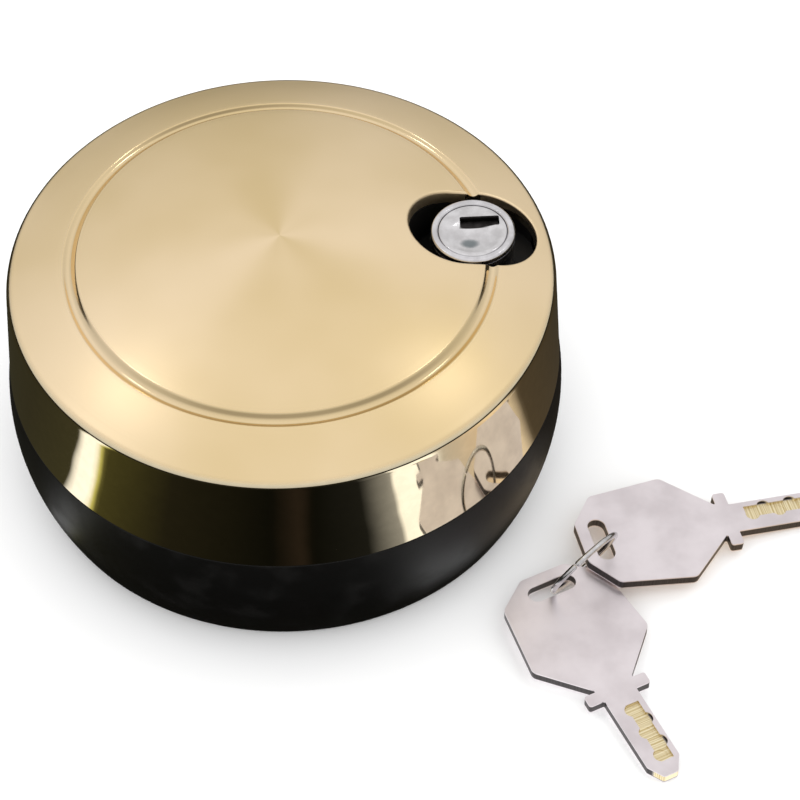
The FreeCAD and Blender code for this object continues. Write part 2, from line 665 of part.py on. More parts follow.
def make_lock_plug():
    """Plug: keyway set to one side of a dished face, shutter pocket, wafer slots, tail and square."""
    body = disc(PLUG_R, plug_under, plug_face_z)
    dish_r = (DISH_R ** 2 + DISH_DEPTH ** 2) / (2 * DISH_DEPTH)
    dish = Part.makeSphere(dish_r, Vector(0, DISH_Y, plug_face_z + dish_r - DISH_DEPTH))
    reach = disc(PLUG_R - DISH_RIM, plug_face_z - DISH_DEPTH - 1, plug_face_z + 1)
    body = body.cut(dish.common(reach))
    body = body.cut(keyway_box(0, plug_under + KEYWAY_FLOOR, plug_face_z + 1))
    y, z = shutter_hinge()
    x0, x1 = shutter_ends()
    pocket_low = plug_face_z - SHUTTER_DROP - SHUTTER_POCKET_DEPTH
    back = y - SHUTTER_KNUCKLE_R - SHUTTER_PLAY
    pocket = block(x0, x1, back, KEYWAY_Y, pocket_low, plug_face_z - SHUTTER_DROP + SHUTTER_PLAY)
    deep = SHUTTER_PIN_BITE + SHUTTER_PIN_END
    length = x1 - x0 + 2 * deep
    pin_hole = Part.makeCylinder(SHUTTER_PIN_R + SEAT, length, Vector(x0 - deep, y, z), Vector(1, 0, 0))
    body = body.cut([pocket, pin_hole])
    for low in wafer_heights():
        body = body.cut([wafer_blank(low, WAFER_PLAY, PLUG_R + 1), wafer_spring_box(low)])
    body = at_keyway(body)
    half = TAIL_SQUARE / 2
    tail = disc(PLUG_TAIL_R, barrel_base - CRANK_GAP, plug_under)
    square = block(-half, half, -half, half, crank_under, barrel_base - CRANK_GAP)
    bore = disc(CRANK_SCREW_R + SEAT, 0, crank_under + CRANK_SCREW_L + CRANK_SCREW_END)
    return body.fuse([at_lock(tail), at_lock(square)]).cut(at_lock(bore)).removeSplitter()


def wafer_blank(low, play, within_r):
    """A wafer's outline at a height, or with play the slot it slides in."""
    side = keyway_l / 2 + WAFER_SIDE + play
    plate = block(KEYWAY_X - side, KEYWAY_X + side, -PLUG_R, PLUG_R, low - play, low + WAFER_T + play)
    return plate.common(disc(within_r, low - 1, low + WAFER_T + 1))


def wafer_spring_x():
    """X of the wafer springs, beside the wafers."""
    return KEYWAY_X - keyway_l / 2 - WAFER_SIDE - WAFER_PLAY - WAFER_SPRING_R - WAFER_SPRING_WIRE_R


def wafer_spring_box(low):
    """Space in the plug for one wafer's spring."""
    reach = WAFER_SPRING_R + WAFER_SPRING_WIRE_R + WAFER_PLAY
    x = wafer_spring_x()
    z = low + WAFER_T / 2
    half = WAFER_SPRING_L / 2 + WAFER_PLAY
    return block(x - reach, x + reach, -half, half, z - reach, z + reach)


def make_wafer_tumblers():
    """Brass wafers, each with its window round the keyway, drawn in as a key holds them."""
    wafers = []
    for low in wafer_heights():
        wafer = wafer_blank(low, 0, PLUG_R - WAFER_SINK)
        wafers.append(wafer.cut(keyway_box(WAFER_PLAY, low - 1, low + WAFER_T + 1)))
    return at_keyway(Part.makeCompound(wafers))


def make_wafer_springs():
    """One fine coil spring beside each wafer."""
    springs = []
    length = WAFER_SPRING_L - 2 * WAFER_SPRING_WIRE_R
    for low in wafer_heights():
        spring = coil(WAFER_SPRING_R, WAFER_SPRING_WIRE_R, length, WAFER_SPRING_TURNS)
        spring.rotate(Vector(0, 0, 0), Vector(1, 0, 0), -90)
        springs.append(moved(spring, wafer_spring_x(), -length / 2, low + WAFER_T / 2))
    return at_keyway(Part.makeCompound(springs))


def make_keyway_shutter():
    """Flap that closes the keyway from inside, with its hinge knuckle."""
    y, z = shutter_hinge()
    x0, x1 = shutter_ends()
    start = x0 + SHUTTER_SPRING_L
    top = plug_face_z - SHUTTER_DROP
    far = KEYWAY_Y + keyway_w / 2 - SHUTTER_PLAY
    flap = block(x0 + SHUTTER_PLAY, x1 - SHUTTER_PLAY, y, far, top - SHUTTER_T, top)
    flap = flap.cut(block(x0, start, y - 1, y + SHUTTER_KNUCKLE_R + SHUTTER_PLAY, top - 1, top + 1))
    length = x1 - SHUTTER_PLAY - start
    knuckle = Part.makeCylinder(SHUTTER_KNUCKLE_R, length, Vector(start, y, z), Vector(1, 0, 0))
    hole = Part.makeCylinder(SHUTTER_PIN_R + RUNNING, length + 2, Vector(start - 1, y, z), Vector(1, 0, 0))
    return at_keyway(flap.fuse(knuckle).cut(hole).removeSplitter())


def make_shutter_pin():
    """The shutter's hinge pin, held in the plug at both ends."""
    y, z = shutter_hinge()
    x0, x1 = shutter_ends()
    length = x1 - x0 + 2 * SHUTTER_PIN_BITE
    start = Vector(x0 - SHUTTER_PIN_BITE, y, z)
    return at_keyway(Part.makeCylinder(SHUTTER_PIN_R, length, start, Vector(1, 0, 0)))


def make_shutter_spring():
    """Torsion spring round the pin, beside the knuckle."""
    y, z = shutter_hinge()
    x0 = shutter_ends()[0]
    wire_r = SHUTTER_SPRING_WIRE_R
    spring = coil(SHUTTER_PIN_R + wire_r + SEAT, wire_r, SHUTTER_SPRING_L - 4 * wire_r, SHUTTER_SPRING_TURNS)
    spring.rotate(Vector(0, 0, 0), Vector(0, 1, 0), 90)
    return at_keyway(moved(spring, x0 + 2 * wire_r, y, z))


# --- crank and bolt -------------------------------------------------------------------------------
def make_crank():
    """Disc on the plug's square tail, drilled for the drive pin."""
    half = TAIL_SQUARE / 2
    plate = disc(crank_r, crank_under, crank_under + CRANK_T)
    hole = block(-half, half, -half, half, 0, barrel_base)
    return at_lock(plate.cut([hole, disc(DRIVE_PIN_R, 0, barrel_base, pin_reach, -pin_side)]))


def make_drive_pin():
    """Pin in the crank that runs in the bolt's cross slot."""
    low = bolt_under + DRIVE_PIN_SHORT
    return at_lock(disc(DRIVE_PIN_R, low, crank_under + CRANK_T, pin_reach, -pin_side))


def make_crank_screw():
    """Screw that holds the crank on the plug's tail."""
    head = disc(CRANK_SCREW_HEAD_R, crank_under - CRANK_SCREW_HEAD_H, crank_under)
    return at_lock(head.fuse(disc(CRANK_SCREW_R, crank_under, crank_under + CRANK_SCREW_L)).removeSplitter())


def make_locking_bolt():
    """Flat bolt with a narrow tip for the hub's notches and an open cross slot for the drive pin."""
    tip_x = HUB_R + BOLT_HUB_GAP - lock_r
    shoulder_x = tip_x + bolt_travel + BOLT_HUB_GAP
    body = block(shoulder_x, BOLT_TAIL, -bolt_half, bolt_half, bolt_under, bolt_top)
    tip = block(tip_x, shoulder_x, -BOLT_TIP_W / 2, BOLT_TIP_W / 2, bolt_under, bolt_top)
    slot_half = DRIVE_PIN_R + BOLT_SLOT_PLAY
    slot_far = -pin_side + DRIVE_PIN_R + BOLT_SLOT_PLAY
    slot = block(pin_reach - slot_half, pin_reach + slot_half, -bolt_half - 1, slot_far, 0, barrel_base)
    return at_lock(body.fuse(tip).cut(slot).removeSplitter())


# --- keys and ring --------------------------------------------------------------------------------
def flat_key():
    """A key lying along +X from the far end of its bow, underside on z = 0."""
    side = [(0, BOW_END_HALF), (BOW_SHOULDER_AT, BOW_SHOULDER_HALF), (BOW_WIDEST_AT, BOW_WIDEST_HALF)]
    side.append((BOW_L + NECK_HALF, NECK_HALF))
    outline = side + [(x, -y) for x, y in reversed(side)]
    up = Vector(0, 0, KEY_T)
    bow = Part.Face(rounded_outline(outline, BOW_CORNER_R)).extrude(up)
    neck = block(BOW_L, STOP_AT + STOP_L, -NECK_HALF, NECK_HALF, 0, KEY_T)
    stop = block(STOP_AT, STOP_AT + STOP_L, -STOP_HALF, STOP_HALF, 0, KEY_T)
    blade = [(STOP_AT, BLADE_HALF), (KEY_L - TIP_L, BLADE_HALF), (KEY_L, TIP_HALF)]
    blade += [(x, -y) for x, y in reversed(blade)]
    corners = [Vector(x, y, 0) for x, y in blade + blade[:1]]
    shank = Part.Face(Part.makePolygon(corners)).extrude(up)
    key = bow.fuse([neck, stop, shank])
    slot = spun(obround(KEY_SLOT_L, KEY_SLOT_W, -1, KEY_T + 1), 90)
    return key.cut([moved(slot, KEY_SLOT_AT, 0), key_track()]).removeSplitter()


def key_track():
    """The milled track in the blade's upper face, with its dimples stepping from side to side."""
    start = STOP_AT + STOP_L + TRACK_START
    end = KEY_L - TIP_L
    low = KEY_T - TRACK_DEPTH
    track = block(start, end, TRACK_OFF - TRACK_W / 2, TRACK_OFF + TRACK_W / 2, low, KEY_T + 1)
    pitch = (end - start) / TRACK_DIMPLES
    dimples = []
    for i in range(TRACK_DIMPLES):
        y = TRACK_OFF + (DIMPLE_R / 2 if i % 2 else -DIMPLE_R / 2)
        dimples.append(disc(DIMPLE_R, low, KEY_T + 1, start + (i + 0.5) * pitch, y))
    return track.fuse(dimples)


def lay_key(back, under, heading):
    """Lays a key by the ring, its bow's end raised and its tip on the deck plane, along a heading."""
    end = Vector(ring_centre.x + back.x, ring_centre.y + back.y, KEY_T + under)
    pitch = math.degrees(math.asin(end.z / KEY_L))
    turn = Rotation(Vector(0, 0, 1), heading).multiply(Rotation(Vector(0, 1, 0), pitch))
    key = flat_key()
    key.Placement = Placement(end, turn)
    return key


def make_key_ring():
    """Wire ring through both bows, leaning on them."""
    turn = math.radians(RING_TURN)
    tilt = math.radians(RING_TILT)
    low_side = Vector(-math.sin(turn), math.cos(turn), 0)
    normal = low_side * math.sin(tilt) + Vector(0, 0, math.cos(tilt))
    return Part.makeTorus(RING_R, RING_WIRE_R, ring_centre, normal)


# --- every piece ----------------------------------------------------------------------------------
def make_pieces():
    """All the pieces, by name."""
    return {
        "brass_cover": make_brass_cover(),
        "cover_screws": make_cover_screws(),
        "cover_seal": make_cover_seal(),
        "skirt_base": make_skirt_base(),
        "hub_bush": make_hub_bush(),
        "thrust_washer": make_thrust_washer(),
        "retaining_ring": make_retaining_ring(),
        "screw_cap": make_screw_cap(),
        "neck_gasket": make_neck_gasket(),
        "lock_bracket": make_lock_bracket(),
        "lock_barrel": make_lock_barrel(),
        "lock_screws": make_lock_screws(),
        "lock_bezel": make_lock_bezel(),
        "lock_shroud": make_lock_shroud(),
        "barrel_seal": make_barrel_seal(),
        "lock_plug": make_lock_plug(),
        "wafer_tumblers": make_wafer_tumblers(),
        "wafer_springs": make_wafer_springs(),
        "keyway_shutter": make_keyway_shutter(),
        "shutter_pin": make_shutter_pin(),
        "shutter_spring": make_shutter_spring(),
        "crank": make_crank(),
        "drive_pin": make_drive_pin(),
        "crank_screw": make_crank_screw(),
        "locking_bolt": make_locking_bolt(),
        "key_a": lay_key(KEY_A_BACK, KEY_A_UNDER, KEY_A_HEADING),
        "key_b": lay_key(KEY_B_BACK, KEY_B_UNDER, KEY_B_HEADING),
        "key_ring": make_key_ring(),
    }


def main():
    os.makedirs("parts", exist_ok=True)
    for name, shape in make_pieces().items():
        shape.exportStep(os.path.join("parts", name + ".step"))
        state = "valid" if shape.isValid() else "NOT VALID"
        print(name, state, len(shape.Solids), round(shape.Volume, 2))


main()
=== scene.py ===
"""Lockable deck fill cap: brass cover on a black skirt, offset lock, and two flat keys on a wire ring."""
import json
import logging
import math
from dataclasses import dataclass, field
from enum import Enum
from typing import Callable, Optional, Sequence, Union

import bmesh
import bpy
from mathutils import Matrix, Vector


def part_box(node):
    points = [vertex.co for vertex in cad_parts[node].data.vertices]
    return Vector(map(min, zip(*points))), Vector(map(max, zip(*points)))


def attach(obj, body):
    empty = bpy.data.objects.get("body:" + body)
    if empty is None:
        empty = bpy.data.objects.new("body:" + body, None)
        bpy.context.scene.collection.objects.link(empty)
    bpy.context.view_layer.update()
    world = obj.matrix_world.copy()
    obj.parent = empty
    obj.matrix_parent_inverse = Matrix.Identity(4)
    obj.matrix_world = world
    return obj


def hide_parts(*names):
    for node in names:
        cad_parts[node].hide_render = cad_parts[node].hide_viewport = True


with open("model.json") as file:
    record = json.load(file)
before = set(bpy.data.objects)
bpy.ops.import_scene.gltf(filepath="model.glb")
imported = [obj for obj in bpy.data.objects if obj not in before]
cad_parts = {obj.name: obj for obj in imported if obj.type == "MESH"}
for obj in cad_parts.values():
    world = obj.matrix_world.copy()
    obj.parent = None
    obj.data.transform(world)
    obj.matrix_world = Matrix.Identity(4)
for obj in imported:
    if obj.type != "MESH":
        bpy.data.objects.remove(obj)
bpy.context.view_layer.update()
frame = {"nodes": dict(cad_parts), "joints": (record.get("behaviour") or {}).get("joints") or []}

LOG = logging.getLogger("deck_fill_cap")
MM = 0.001
LOCK_ANGLE = math.radians(7.6)
ROUND = 192

Triple = tuple[float, float, float]
Point = tuple[float, float]
Colour = Triple
Corner = Triple
Number = Union[float, "Value"]


# --- shader maths -----------------------------------------------------------------------------------------
class Value:
    """One output socket of a node tree, with arithmetic that adds Math nodes."""

    def __init__(self, nodes: "Nodes", socket: Optional[bpy.types.NodeSocket]) -> None:
        """Keeps the socket and the node builder it belongs to."""
        self.nodes = nodes
        self.socket = socket

    def math(self, operation: str, first: Number, second: Number = 0.0) -> "Value":
        """Adds one Math node.

        Args:
            operation: name of the Math operation.
            first: first operand.
            second: second operand, ignored by operations of one operand.

        Returns:
            The node's output.
        """
        return self.nodes.add("ShaderNodeMath", {"operation": operation}, {0: first, 1: second})

    def __add__(self, other: Number) -> "Value":
        """Sum."""
        return self.math("ADD", self, other)

    def __radd__(self, other: Number) -> "Value":
        """Sum, reflected."""
        return self.math("ADD", other, self)

    def __sub__(self, other: Number) -> "Value":
        """Difference."""
        return self.math("SUBTRACT", self, other)

    def __rsub__(self, other: Number) -> "Value":
        """Difference, reflected."""
        return self.math("SUBTRACT", other, self)

    def __mul__(self, other: Number) -> "Value":
        """Product."""
        return self.math("MULTIPLY", self, other)

    def __rmul__(self, other: Number) -> "Value":
        """Product, reflected."""
        return self.math("MULTIPLY", other, self)

    def root(self) -> "Value":
        """Square root."""
        return self.math("SQRT", self)

    def sine(self) -> "Value":
        """Sine of an angle in radians."""
        return self.math("SINE", self)

    def angle_to(self, other: "Value") -> "Value":
        """Angle whose tangent is this value over the other."""
        return self.math("ARCTAN2", self, other)

    def between(self, low: float, high: float) -> "Value":
        """Smooth step from 0 at low to 1 at high."""
        settings = {"interpolation_type": "SMOOTHSTEP"}
        return self.nodes.add("ShaderNodeMapRange", settings, {0: self, 1: low, 2: high, 3: 0.0, 4: 1.0})

    def mix(self, first: Union["Value", Colour], second: Union["Value", Colour]) -> "Value":
        """Mixes two colours by this factor.

        Args:
            first: colour at 0, fixed or from a socket.
            second: colour at 1, fixed or from a socket.

        Returns:
            The mixed colour.
        """
        ends = [end if isinstance(end, Value) else (*end, 1.0) for end in (first, second)]
        return self.nodes.add("ShaderNodeMix", {"data_type": "RGBA"}, {0: self, 6: ends[0], 7: ends[1]}, 2)


class Nodes:
    """Builds the node tree of one material or world."""

    def __init__(self, owner: Union[bpy.types.Material, bpy.types.World],
                 laid: Optional[Matrix] = None) -> None:
        """Starts an empty tree.

        Args:
            owner: the new material or world.
            laid: how the piece was laid in its place, undone before anything is laid out on it.
        """
        self.owner = owner
        self.laid = laid
        owner.use_nodes = True
        self.tree = owner.node_tree
        self.tree.nodes.clear()

    def add(self, kind: str, settings: Optional[dict] = None, inputs: Optional[dict] = None,
            output: Union[int, str] = 0) -> Value:
        """Adds any node.

        Args:
            kind: the node's type.
            settings: properties set first; "stops" is a colour ramp's list of (place, colour).
            inputs: socket name or number to a number, colour or another node's output.
            output: number or name of the output that is returned.

        Returns:
            The chosen output, or an empty value for the node that ends the tree.
        """
        node = self.tree.nodes.new(kind)
        for key, value in (settings or {}).items():
            if key == "stops":
                self._set_stops(node.color_ramp, value)
            else:
                setattr(node, key, value)
        for key, value in (inputs or {}).items():
            if isinstance(value, Value):
                self.tree.links.new(value.socket, node.inputs[key])
            else:
                node.inputs[key].default_value = value
        return Value(self, node.outputs[output] if node.outputs else None)

    @staticmethod
    def _set_stops(ramp: bpy.types.ColorRamp, stops: Sequence[tuple[float, Colour]]) -> None:
        """Gives a colour ramp its stops.

        Args:
            ramp: the ramp, with its first two stops.
            stops: place from 0 to 1 and colour of each stop.
        """
        while len(ramp.elements) < len(stops):
            ramp.elements.new(0.5)
        for element, (place, colour) in zip(ramp.elements, stops):
            element.position = place
            element.color = (*colour, 1.0)

    def coordinates(self) -> Value:
        """Coordinates on the piece.

        Returns:
            The coordinates that it had before it was laid in its place, in metres.
        """
        own = self.add("ShaderNodeTexCoord", output=3)
        if self.laid is None:
            return own
        back = self.laid.inverted()
        return self.add("ShaderNodeMapping", {}, {0: own, 1: back.translation, 2: back.to_euler()})

    def place(self) -> tuple[Value, Value, Value]:
        """X, Y and Z on the piece, in millimetres."""
        coordinates = self.coordinates()
        outputs = [self.add("ShaderNodeSeparateXYZ", {}, {0: coordinates}, i) for i in range(3)]
        return outputs[0] * 1000.0, outputs[1] * 1000.0, outputs[2] * 1000.0

    def noise(self, scale: float, detail: float = 3.0, stretch: Optional[Triple] = None) -> Value:
        """Noise over the piece.

        Args:
            scale: how many features there are in a millimetre.
            detail: octaves.
            stretch: factors along X, Y and Z, for grain with a direction.

        Returns:
            Noise from 0 to 1.
        """
        size = tuple(s * 1000.0 for s in (stretch or (1.0, 1.0, 1.0)))
        mapped = self.add("ShaderNodeMapping", {}, {0: self.coordinates(), 3: size})
        return self.add("ShaderNodeTexNoise", {}, {"Vector": mapped, "Scale": scale, "Detail": detail})

    def lines(self, across: Value, per_mm: float, detail: float = 2.0) -> Value:
        """Fine irregular lines along a value that counts in millimetres."""
        settings = {"noise_dimensions": "1D"}
        return self.add("ShaderNodeTexNoise", settings, {"W": across, "Scale": per_mm, "Detail": detail})

    def bump(self, height: Value, depth_mm: float, strength: float = 1.0,
             over: Optional[Value] = None) -> Value:
        """Normal from a height.

        Args:
            height: value from 0 to 1.
            depth_mm: real depth between those.
            strength: how much of it shows.
            over: normal of a bump that this one lies on.

        Returns:
            The normal.
        """
        inputs = {"Strength": strength, "Distance": depth_mm * MM, "Height": height}
        if over is not None:
            inputs["Normal"] = over
        return self.add("ShaderNodeBump", {}, inputs)

    def finish(self, inputs: dict) -> bpy.types.Material:
        """Ends the tree with the surface shader and gives the material."""
        shader = self.add("ShaderNodeBsdfPrincipled", {}, inputs)
        self.add("ShaderNodeOutputMaterial", {}, {"Surface": shader})
        return self.owner


def new_material(name: str, laid: Optional[Matrix] = None) -> Nodes:
    """Starts the node tree of a new material of that name."""
    return Nodes(bpy.data.materials.new(name), laid)


# --- finishes ---------------------------------------------------------------------------------------------
@dataclass(frozen=True)
class CoverBrass:
    """Brass cover: satin turned top with painted sheen fans and a painted shade line in its groove, polished
    edge and band, darker inside.
    """

    edge_z: float
    groove_r: float
    # the top's painted sheen runs from this darker brass to the lighter one below
    top_sheen_dark: Colour = (0.745, 0.58, 0.315)
    top_sheen_light: Colour = (0.91, 0.735, 0.49)
    band: Colour = (0.90, 0.79, 0.57)
    # colour of the painted shade line in the groove
    groove_shade_dark: Colour = (0.16, 0.115, 0.055)

    def build(self) -> bpy.types.Material:
        """Makes the material.

        Returns:
            The material.
        """
        n = new_material("cover_brass")
        x, y, z = n.place()
        radius = (x * x + y * y).root()
        top = z.between(self.edge_z - 0.9, self.edge_z - 0.2)
        around = y.angle_to(x)
        # painted sheen: light and dark fans round the centre stand in for the turned finish's reflections
        painted_sheen_fan = (around * 2.0 + 0.7).sine() * 0.28 + (around * 5.0 + 2.0).sine() * 0.12 + 0.5
        cloud = n.noise(0.045, 2.0)
        # painted sheen fans mixed with a random cloud of the brass's own tone
        sheen_and_tone = (painted_sheen_fan * 0.55 + cloud * 0.45).between(0.15, 0.85)
        turned = sheen_and_tone.mix(self.top_sheen_dark, self.top_sheen_light)
        tarnish = n.noise(0.5, 4.0).between(0.35, 0.75)
        polished = tarnish.mix(tuple(c * 0.93 for c in self.band), self.band)
        away = (radius - self.groove_r) * (radius - self.groove_r)
        groove = 1.0 - away.between(1.4, 2.4)
        # painted shade: a dark line on the groove's walls, strongest at the front and back
        ends = (y * y) * 0.00068
        groove_shade_line = (1.0 - away.between(0.9, 1.5)) * away.between(0.10, 0.55) * ends.between(0.25, 0.9)
        groove_shade_colour = painted_sheen_fan.mix(self.groove_shade_dark, self.top_sheen_dark)
        # the top takes the painted groove shade line over its turned colour
        colour = top.mix(polished, (groove_shade_line * 0.75).mix(turned, groove_shade_colour))
        rings = n.lines(radius, 2.6)
        scuff = n.noise(1.8, 4.0, (1.0, 1.0, 0.2))
        satin_roughness = 0.27 + rings * 0.05 + cloud * 0.04 - groove * 0.19
        roughness = top * satin_roughness + (1.0 - top) * (0.035 + scuff * 0.035)
        satin = n.bump(rings * top, 0.006, 0.5)
        normal = n.bump(n.noise(0.12, 1.0), 0.012, 0.35, satin)
        return n.finish({"Base Color": colour, "Metallic": 1.0, "Roughness": roughness, "Normal": normal})


@dataclass(frozen=True)
class BlackMoulding:
    """Black moulded plastic with a fine satin grain and faint handling marks."""

    colour: Colour = (0.0024, 0.0022, 0.0018)
    worn: Colour = (0.0060, 0.0056, 0.0050)

    def build(self) -> bpy.types.Material:
        """Makes the material.

        Returns:
            The material.
        """
        n = new_material("black_moulding")
        marks = n.noise(0.16, 5.0).between(0.45, 0.75)
        grain = n.noise(5.0, 2.0)
        colour = marks.mix(self.colour, self.worn)
        roughness = 0.46 + marks * 0.10 + grain * 0.04
        inputs = {"Base Color": colour, "Roughness": roughness, "Normal": n.bump(grain, 0.012, 0.35)}
        return n.finish({**inputs, "Specular IOR Level": 0.22})


@dataclass(frozen=True)
class Plate:
    """A metal surface: machined, stamped, cast or plated, by its numbers."""

    name: str
    dark: Colour
    light: Colour
    roughness: float
    spread: float = 0.08
    cloud: float = 0.2
    grain: float = 4.0
    stretch: Triple = (1.0, 1.0, 1.0)
    depth_mm: float = 0.006

    def build(self) -> bpy.types.Material:
        """Makes the material.

        Returns:
            The material.
        """
        n = new_material(self.name)
        cloud = n.noise(self.cloud, 3.0)
        grain = n.noise(self.grain, 3.0, self.stretch)
        colour = cloud.between(0.3, 0.7).mix(self.dark, self.light)
        roughness = self.roughness + (grain - 0.5) * self.spread + (cloud - 0.5) * self.spread
        inputs = {"Base Color": colour, "Metallic": 1.0, "Roughness": roughness}
        return n.finish({**inputs, "Normal": n.bump(grain, self.depth_mm, 0.5)})


@dataclass(frozen=True)
class KeyPlate:
    """Nickel-plated key, with bare brass where the track is milled and painted shade on its edges."""

    name: str
    laid: Matrix
    thickness: float
    stop_end: float
    nickel_dark: Colour = (0.68, 0.625, 0.645)
    nickel_light: Colour = (0.84, 0.785, 0.81)
    brass_dark: Colour = (0.62, 0.49, 0.24)
    brass_light: Colour = (0.93, 0.84, 0.60)
    # near-black painted shade of the key's side walls
    edge_shade_dark: Colour = (0.045, 0.040, 0.040)
    edge_shade_light: Colour = (0.10, 0.09, 0.09)

    def build(self) -> bpy.types.Material:
        """Makes the material.

        Returns:
            The material.
        """
        n = new_material(self.name, self.laid)
        x, y, z = n.place()
        cloud = n.noise(0.13, 3.0)
        brushed = n.noise(2.2, 3.0, (0.35, 3.0, 1.0))
        cutter = n.lines(x, 3.2)
        sunk = (1.0 - z.between(self.thickness - 0.30, self.thickness - 0.16)) * z.between(0.25, 0.45)
        inside = x.between(self.stop_end + 2.0, self.stop_end + 2.4)
        inner = 1.0 - (y * y).between(5.6, 7.8)
        milled = sunk * inside * inner
        # painted shade on the side walls, except where the track is milled
        wall = z.between(0.15, 0.30) * (1.0 - z.between(self.thickness - 0.30, self.thickness - 0.15))
        edge = wall * (1.0 - milled)
        plating = cloud.between(0.25, 0.75).mix(self.nickel_dark, self.nickel_light)
        bare = cutter.between(0.3, 0.7).mix(self.brass_dark, self.brass_light)
        edge_shade = cutter.mix(self.edge_shade_dark, self.edge_shade_light)
        colour = edge.mix(milled.mix(plating, bare), edge_shade)
        roughness = 0.30 + brushed * 0.10 + cloud * 0.06 + milled * (0.04 + cutter * 0.08) + edge * 0.12
        height = brushed * 0.5 + milled * cutter
        inputs = {"Base Color": colour, "Metallic": 1.0, "Roughness": roughness}
        return n.finish({**inputs, "Normal": n.bump(height, 0.008, 0.5)})


@dataclass(frozen=True)
class PlugChrome:
    """Satin chrome of the lock's plug, with painted shade down its keyway and a painted dark reflection in its
    dish.
    """

    face_z: float
    keyway_x: Point
    keyway_y: Point
    # place of the painted dark reflection in the dish
    painted_dark_at: Point
    dark: Colour = (0.60, 0.59, 0.60)
    light: Colour = (0.76, 0.755, 0.77)
    # colour of the painted dark reflection in the dish
    worn: Colour = (0.13, 0.165, 0.175)
    # painted shade down the keyway: near-black walls below the face
    inside: Colour = (0.020, 0.018, 0.018)
    keyway_shade_light: Colour = (0.06, 0.055, 0.05)

    def build(self) -> bpy.types.Material:
        """Makes the material.

        Returns:
            The material.
        """
        n = new_material("plug_chrome")
        x, y, z = n.place()
        along = x.between(self.keyway_x[0] - 0.2, self.keyway_x[0] - 0.1)
        along = along * (1.0 - x.between(self.keyway_x[1] + 0.1, self.keyway_x[1] + 0.2))
        across = y.between(self.keyway_y[0] - 0.2, self.keyway_y[0] - 0.1)
        across = across * (1.0 - y.between(self.keyway_y[1] + 0.1, self.keyway_y[1] + 0.2))
        # painted shade: the keyway's walls below the face are darkened
        deep = along * across * (1.0 - z.between(self.face_z - 0.55, self.face_z - 0.2))
        cloud = n.noise(0.4, 3.0)
        grain = n.noise(3.0, 3.0)
        plating = cloud.between(0.3, 0.7).mix(self.dark, self.light)
        # painted dark reflection: a soft dark patch in the dish below the keyway
        aside, below = x - self.painted_dark_at[0], y - self.painted_dark_at[1]
        painted_dark_patch = 1.0 - (aside * aside * 0.45 + below * below + grain * 0.6).between(0.5, 2.2)
        plating = (painted_dark_patch * 0.8).mix(plating, self.worn)
        # colour of the painted keyway shade
        keyway_shade = grain.mix(self.inside, self.keyway_shade_light)
        roughness = 0.13 + (grain - 0.5) * 0.06 + deep * 0.25
        inputs = {"Base Color": deep.mix(plating, keyway_shade), "Metallic": 1.0, "Roughness": roughness}
        return n.finish({**inputs, "Normal": n.bump(grain, 0.006, 0.5)})


@dataclass(frozen=True)
class Soft:
    """Rubber or nylon: a dull surface with a faint moulded grain."""

    name: str
    dark: Colour
    light: Colour
    roughness: float

    def build(self) -> bpy.types.Material:
        """Makes the material.

        Returns:
            The material.
        """
        n = new_material(self.name)
        cloud = n.noise(0.3, 4.0)
        grain = n.noise(6.0, 2.0)
        colour = cloud.between(0.3, 0.7).mix(self.dark, self.light)
        roughness = self.roughness + (grain - 0.5) * 0.1
        return n.finish({"Base Color": colour, "Roughness": roughness, "Normal": n.bump(grain, 0.02, 0.4)})


@dataclass(frozen=True)
class PaleFloor:
    """The floor: matt, nearly white, with the slightest unevenness."""

    def build(self) -> bpy.types.Material:
        """Makes the material.

        Returns:
            The material.
        """
        n = new_material("pale_floor")
        colour = n.noise(0.004, 2.0).mix((0.90, 0.90, 0.90), (0.93, 0.93, 0.93))
        return n.finish({"Base Color": colour, "Roughness": 0.9, "Specular IOR Level": 0.0})


@dataclass(frozen=True)
class RoomGlow:
    """The glow of the room round the object, by heading, as polished metal mirrors it."""

    strength: float
    stops: tuple[tuple[float, Colour], ...]

    def build(self) -> bpy.types.Material:
        """Makes the material.

        Returns:
            The material.
        """
        n = new_material("room_glow")
        x, y, _ = n.place()
        turn = y.angle_to(x) * (0.5 / math.pi) + 0.5
        ripple = (n.noise(0.05, 2.0) - 0.5) * 0.012
        places = [((heading + 180.0) / 360.0, colour) for heading, colour in self.stops]
        colour = n.add("ShaderNodeValToRGB", {"stops": places}, {0: turn + ripple})
        glow = n.add("ShaderNodeEmission", {}, {"Color": colour, "Strength": self.strength})
        n.add("ShaderNodeOutputMaterial", {}, {"Surface": glow})
        return n.owner


# --- mesh work --------------------------------------------------------------------------------------------
class Cut(Enum):
    """What a second shape does to a first."""

    REMOVE = "DIFFERENCE"
    JOIN = "UNION"
    KEEP_SHARED = "INTERSECT"


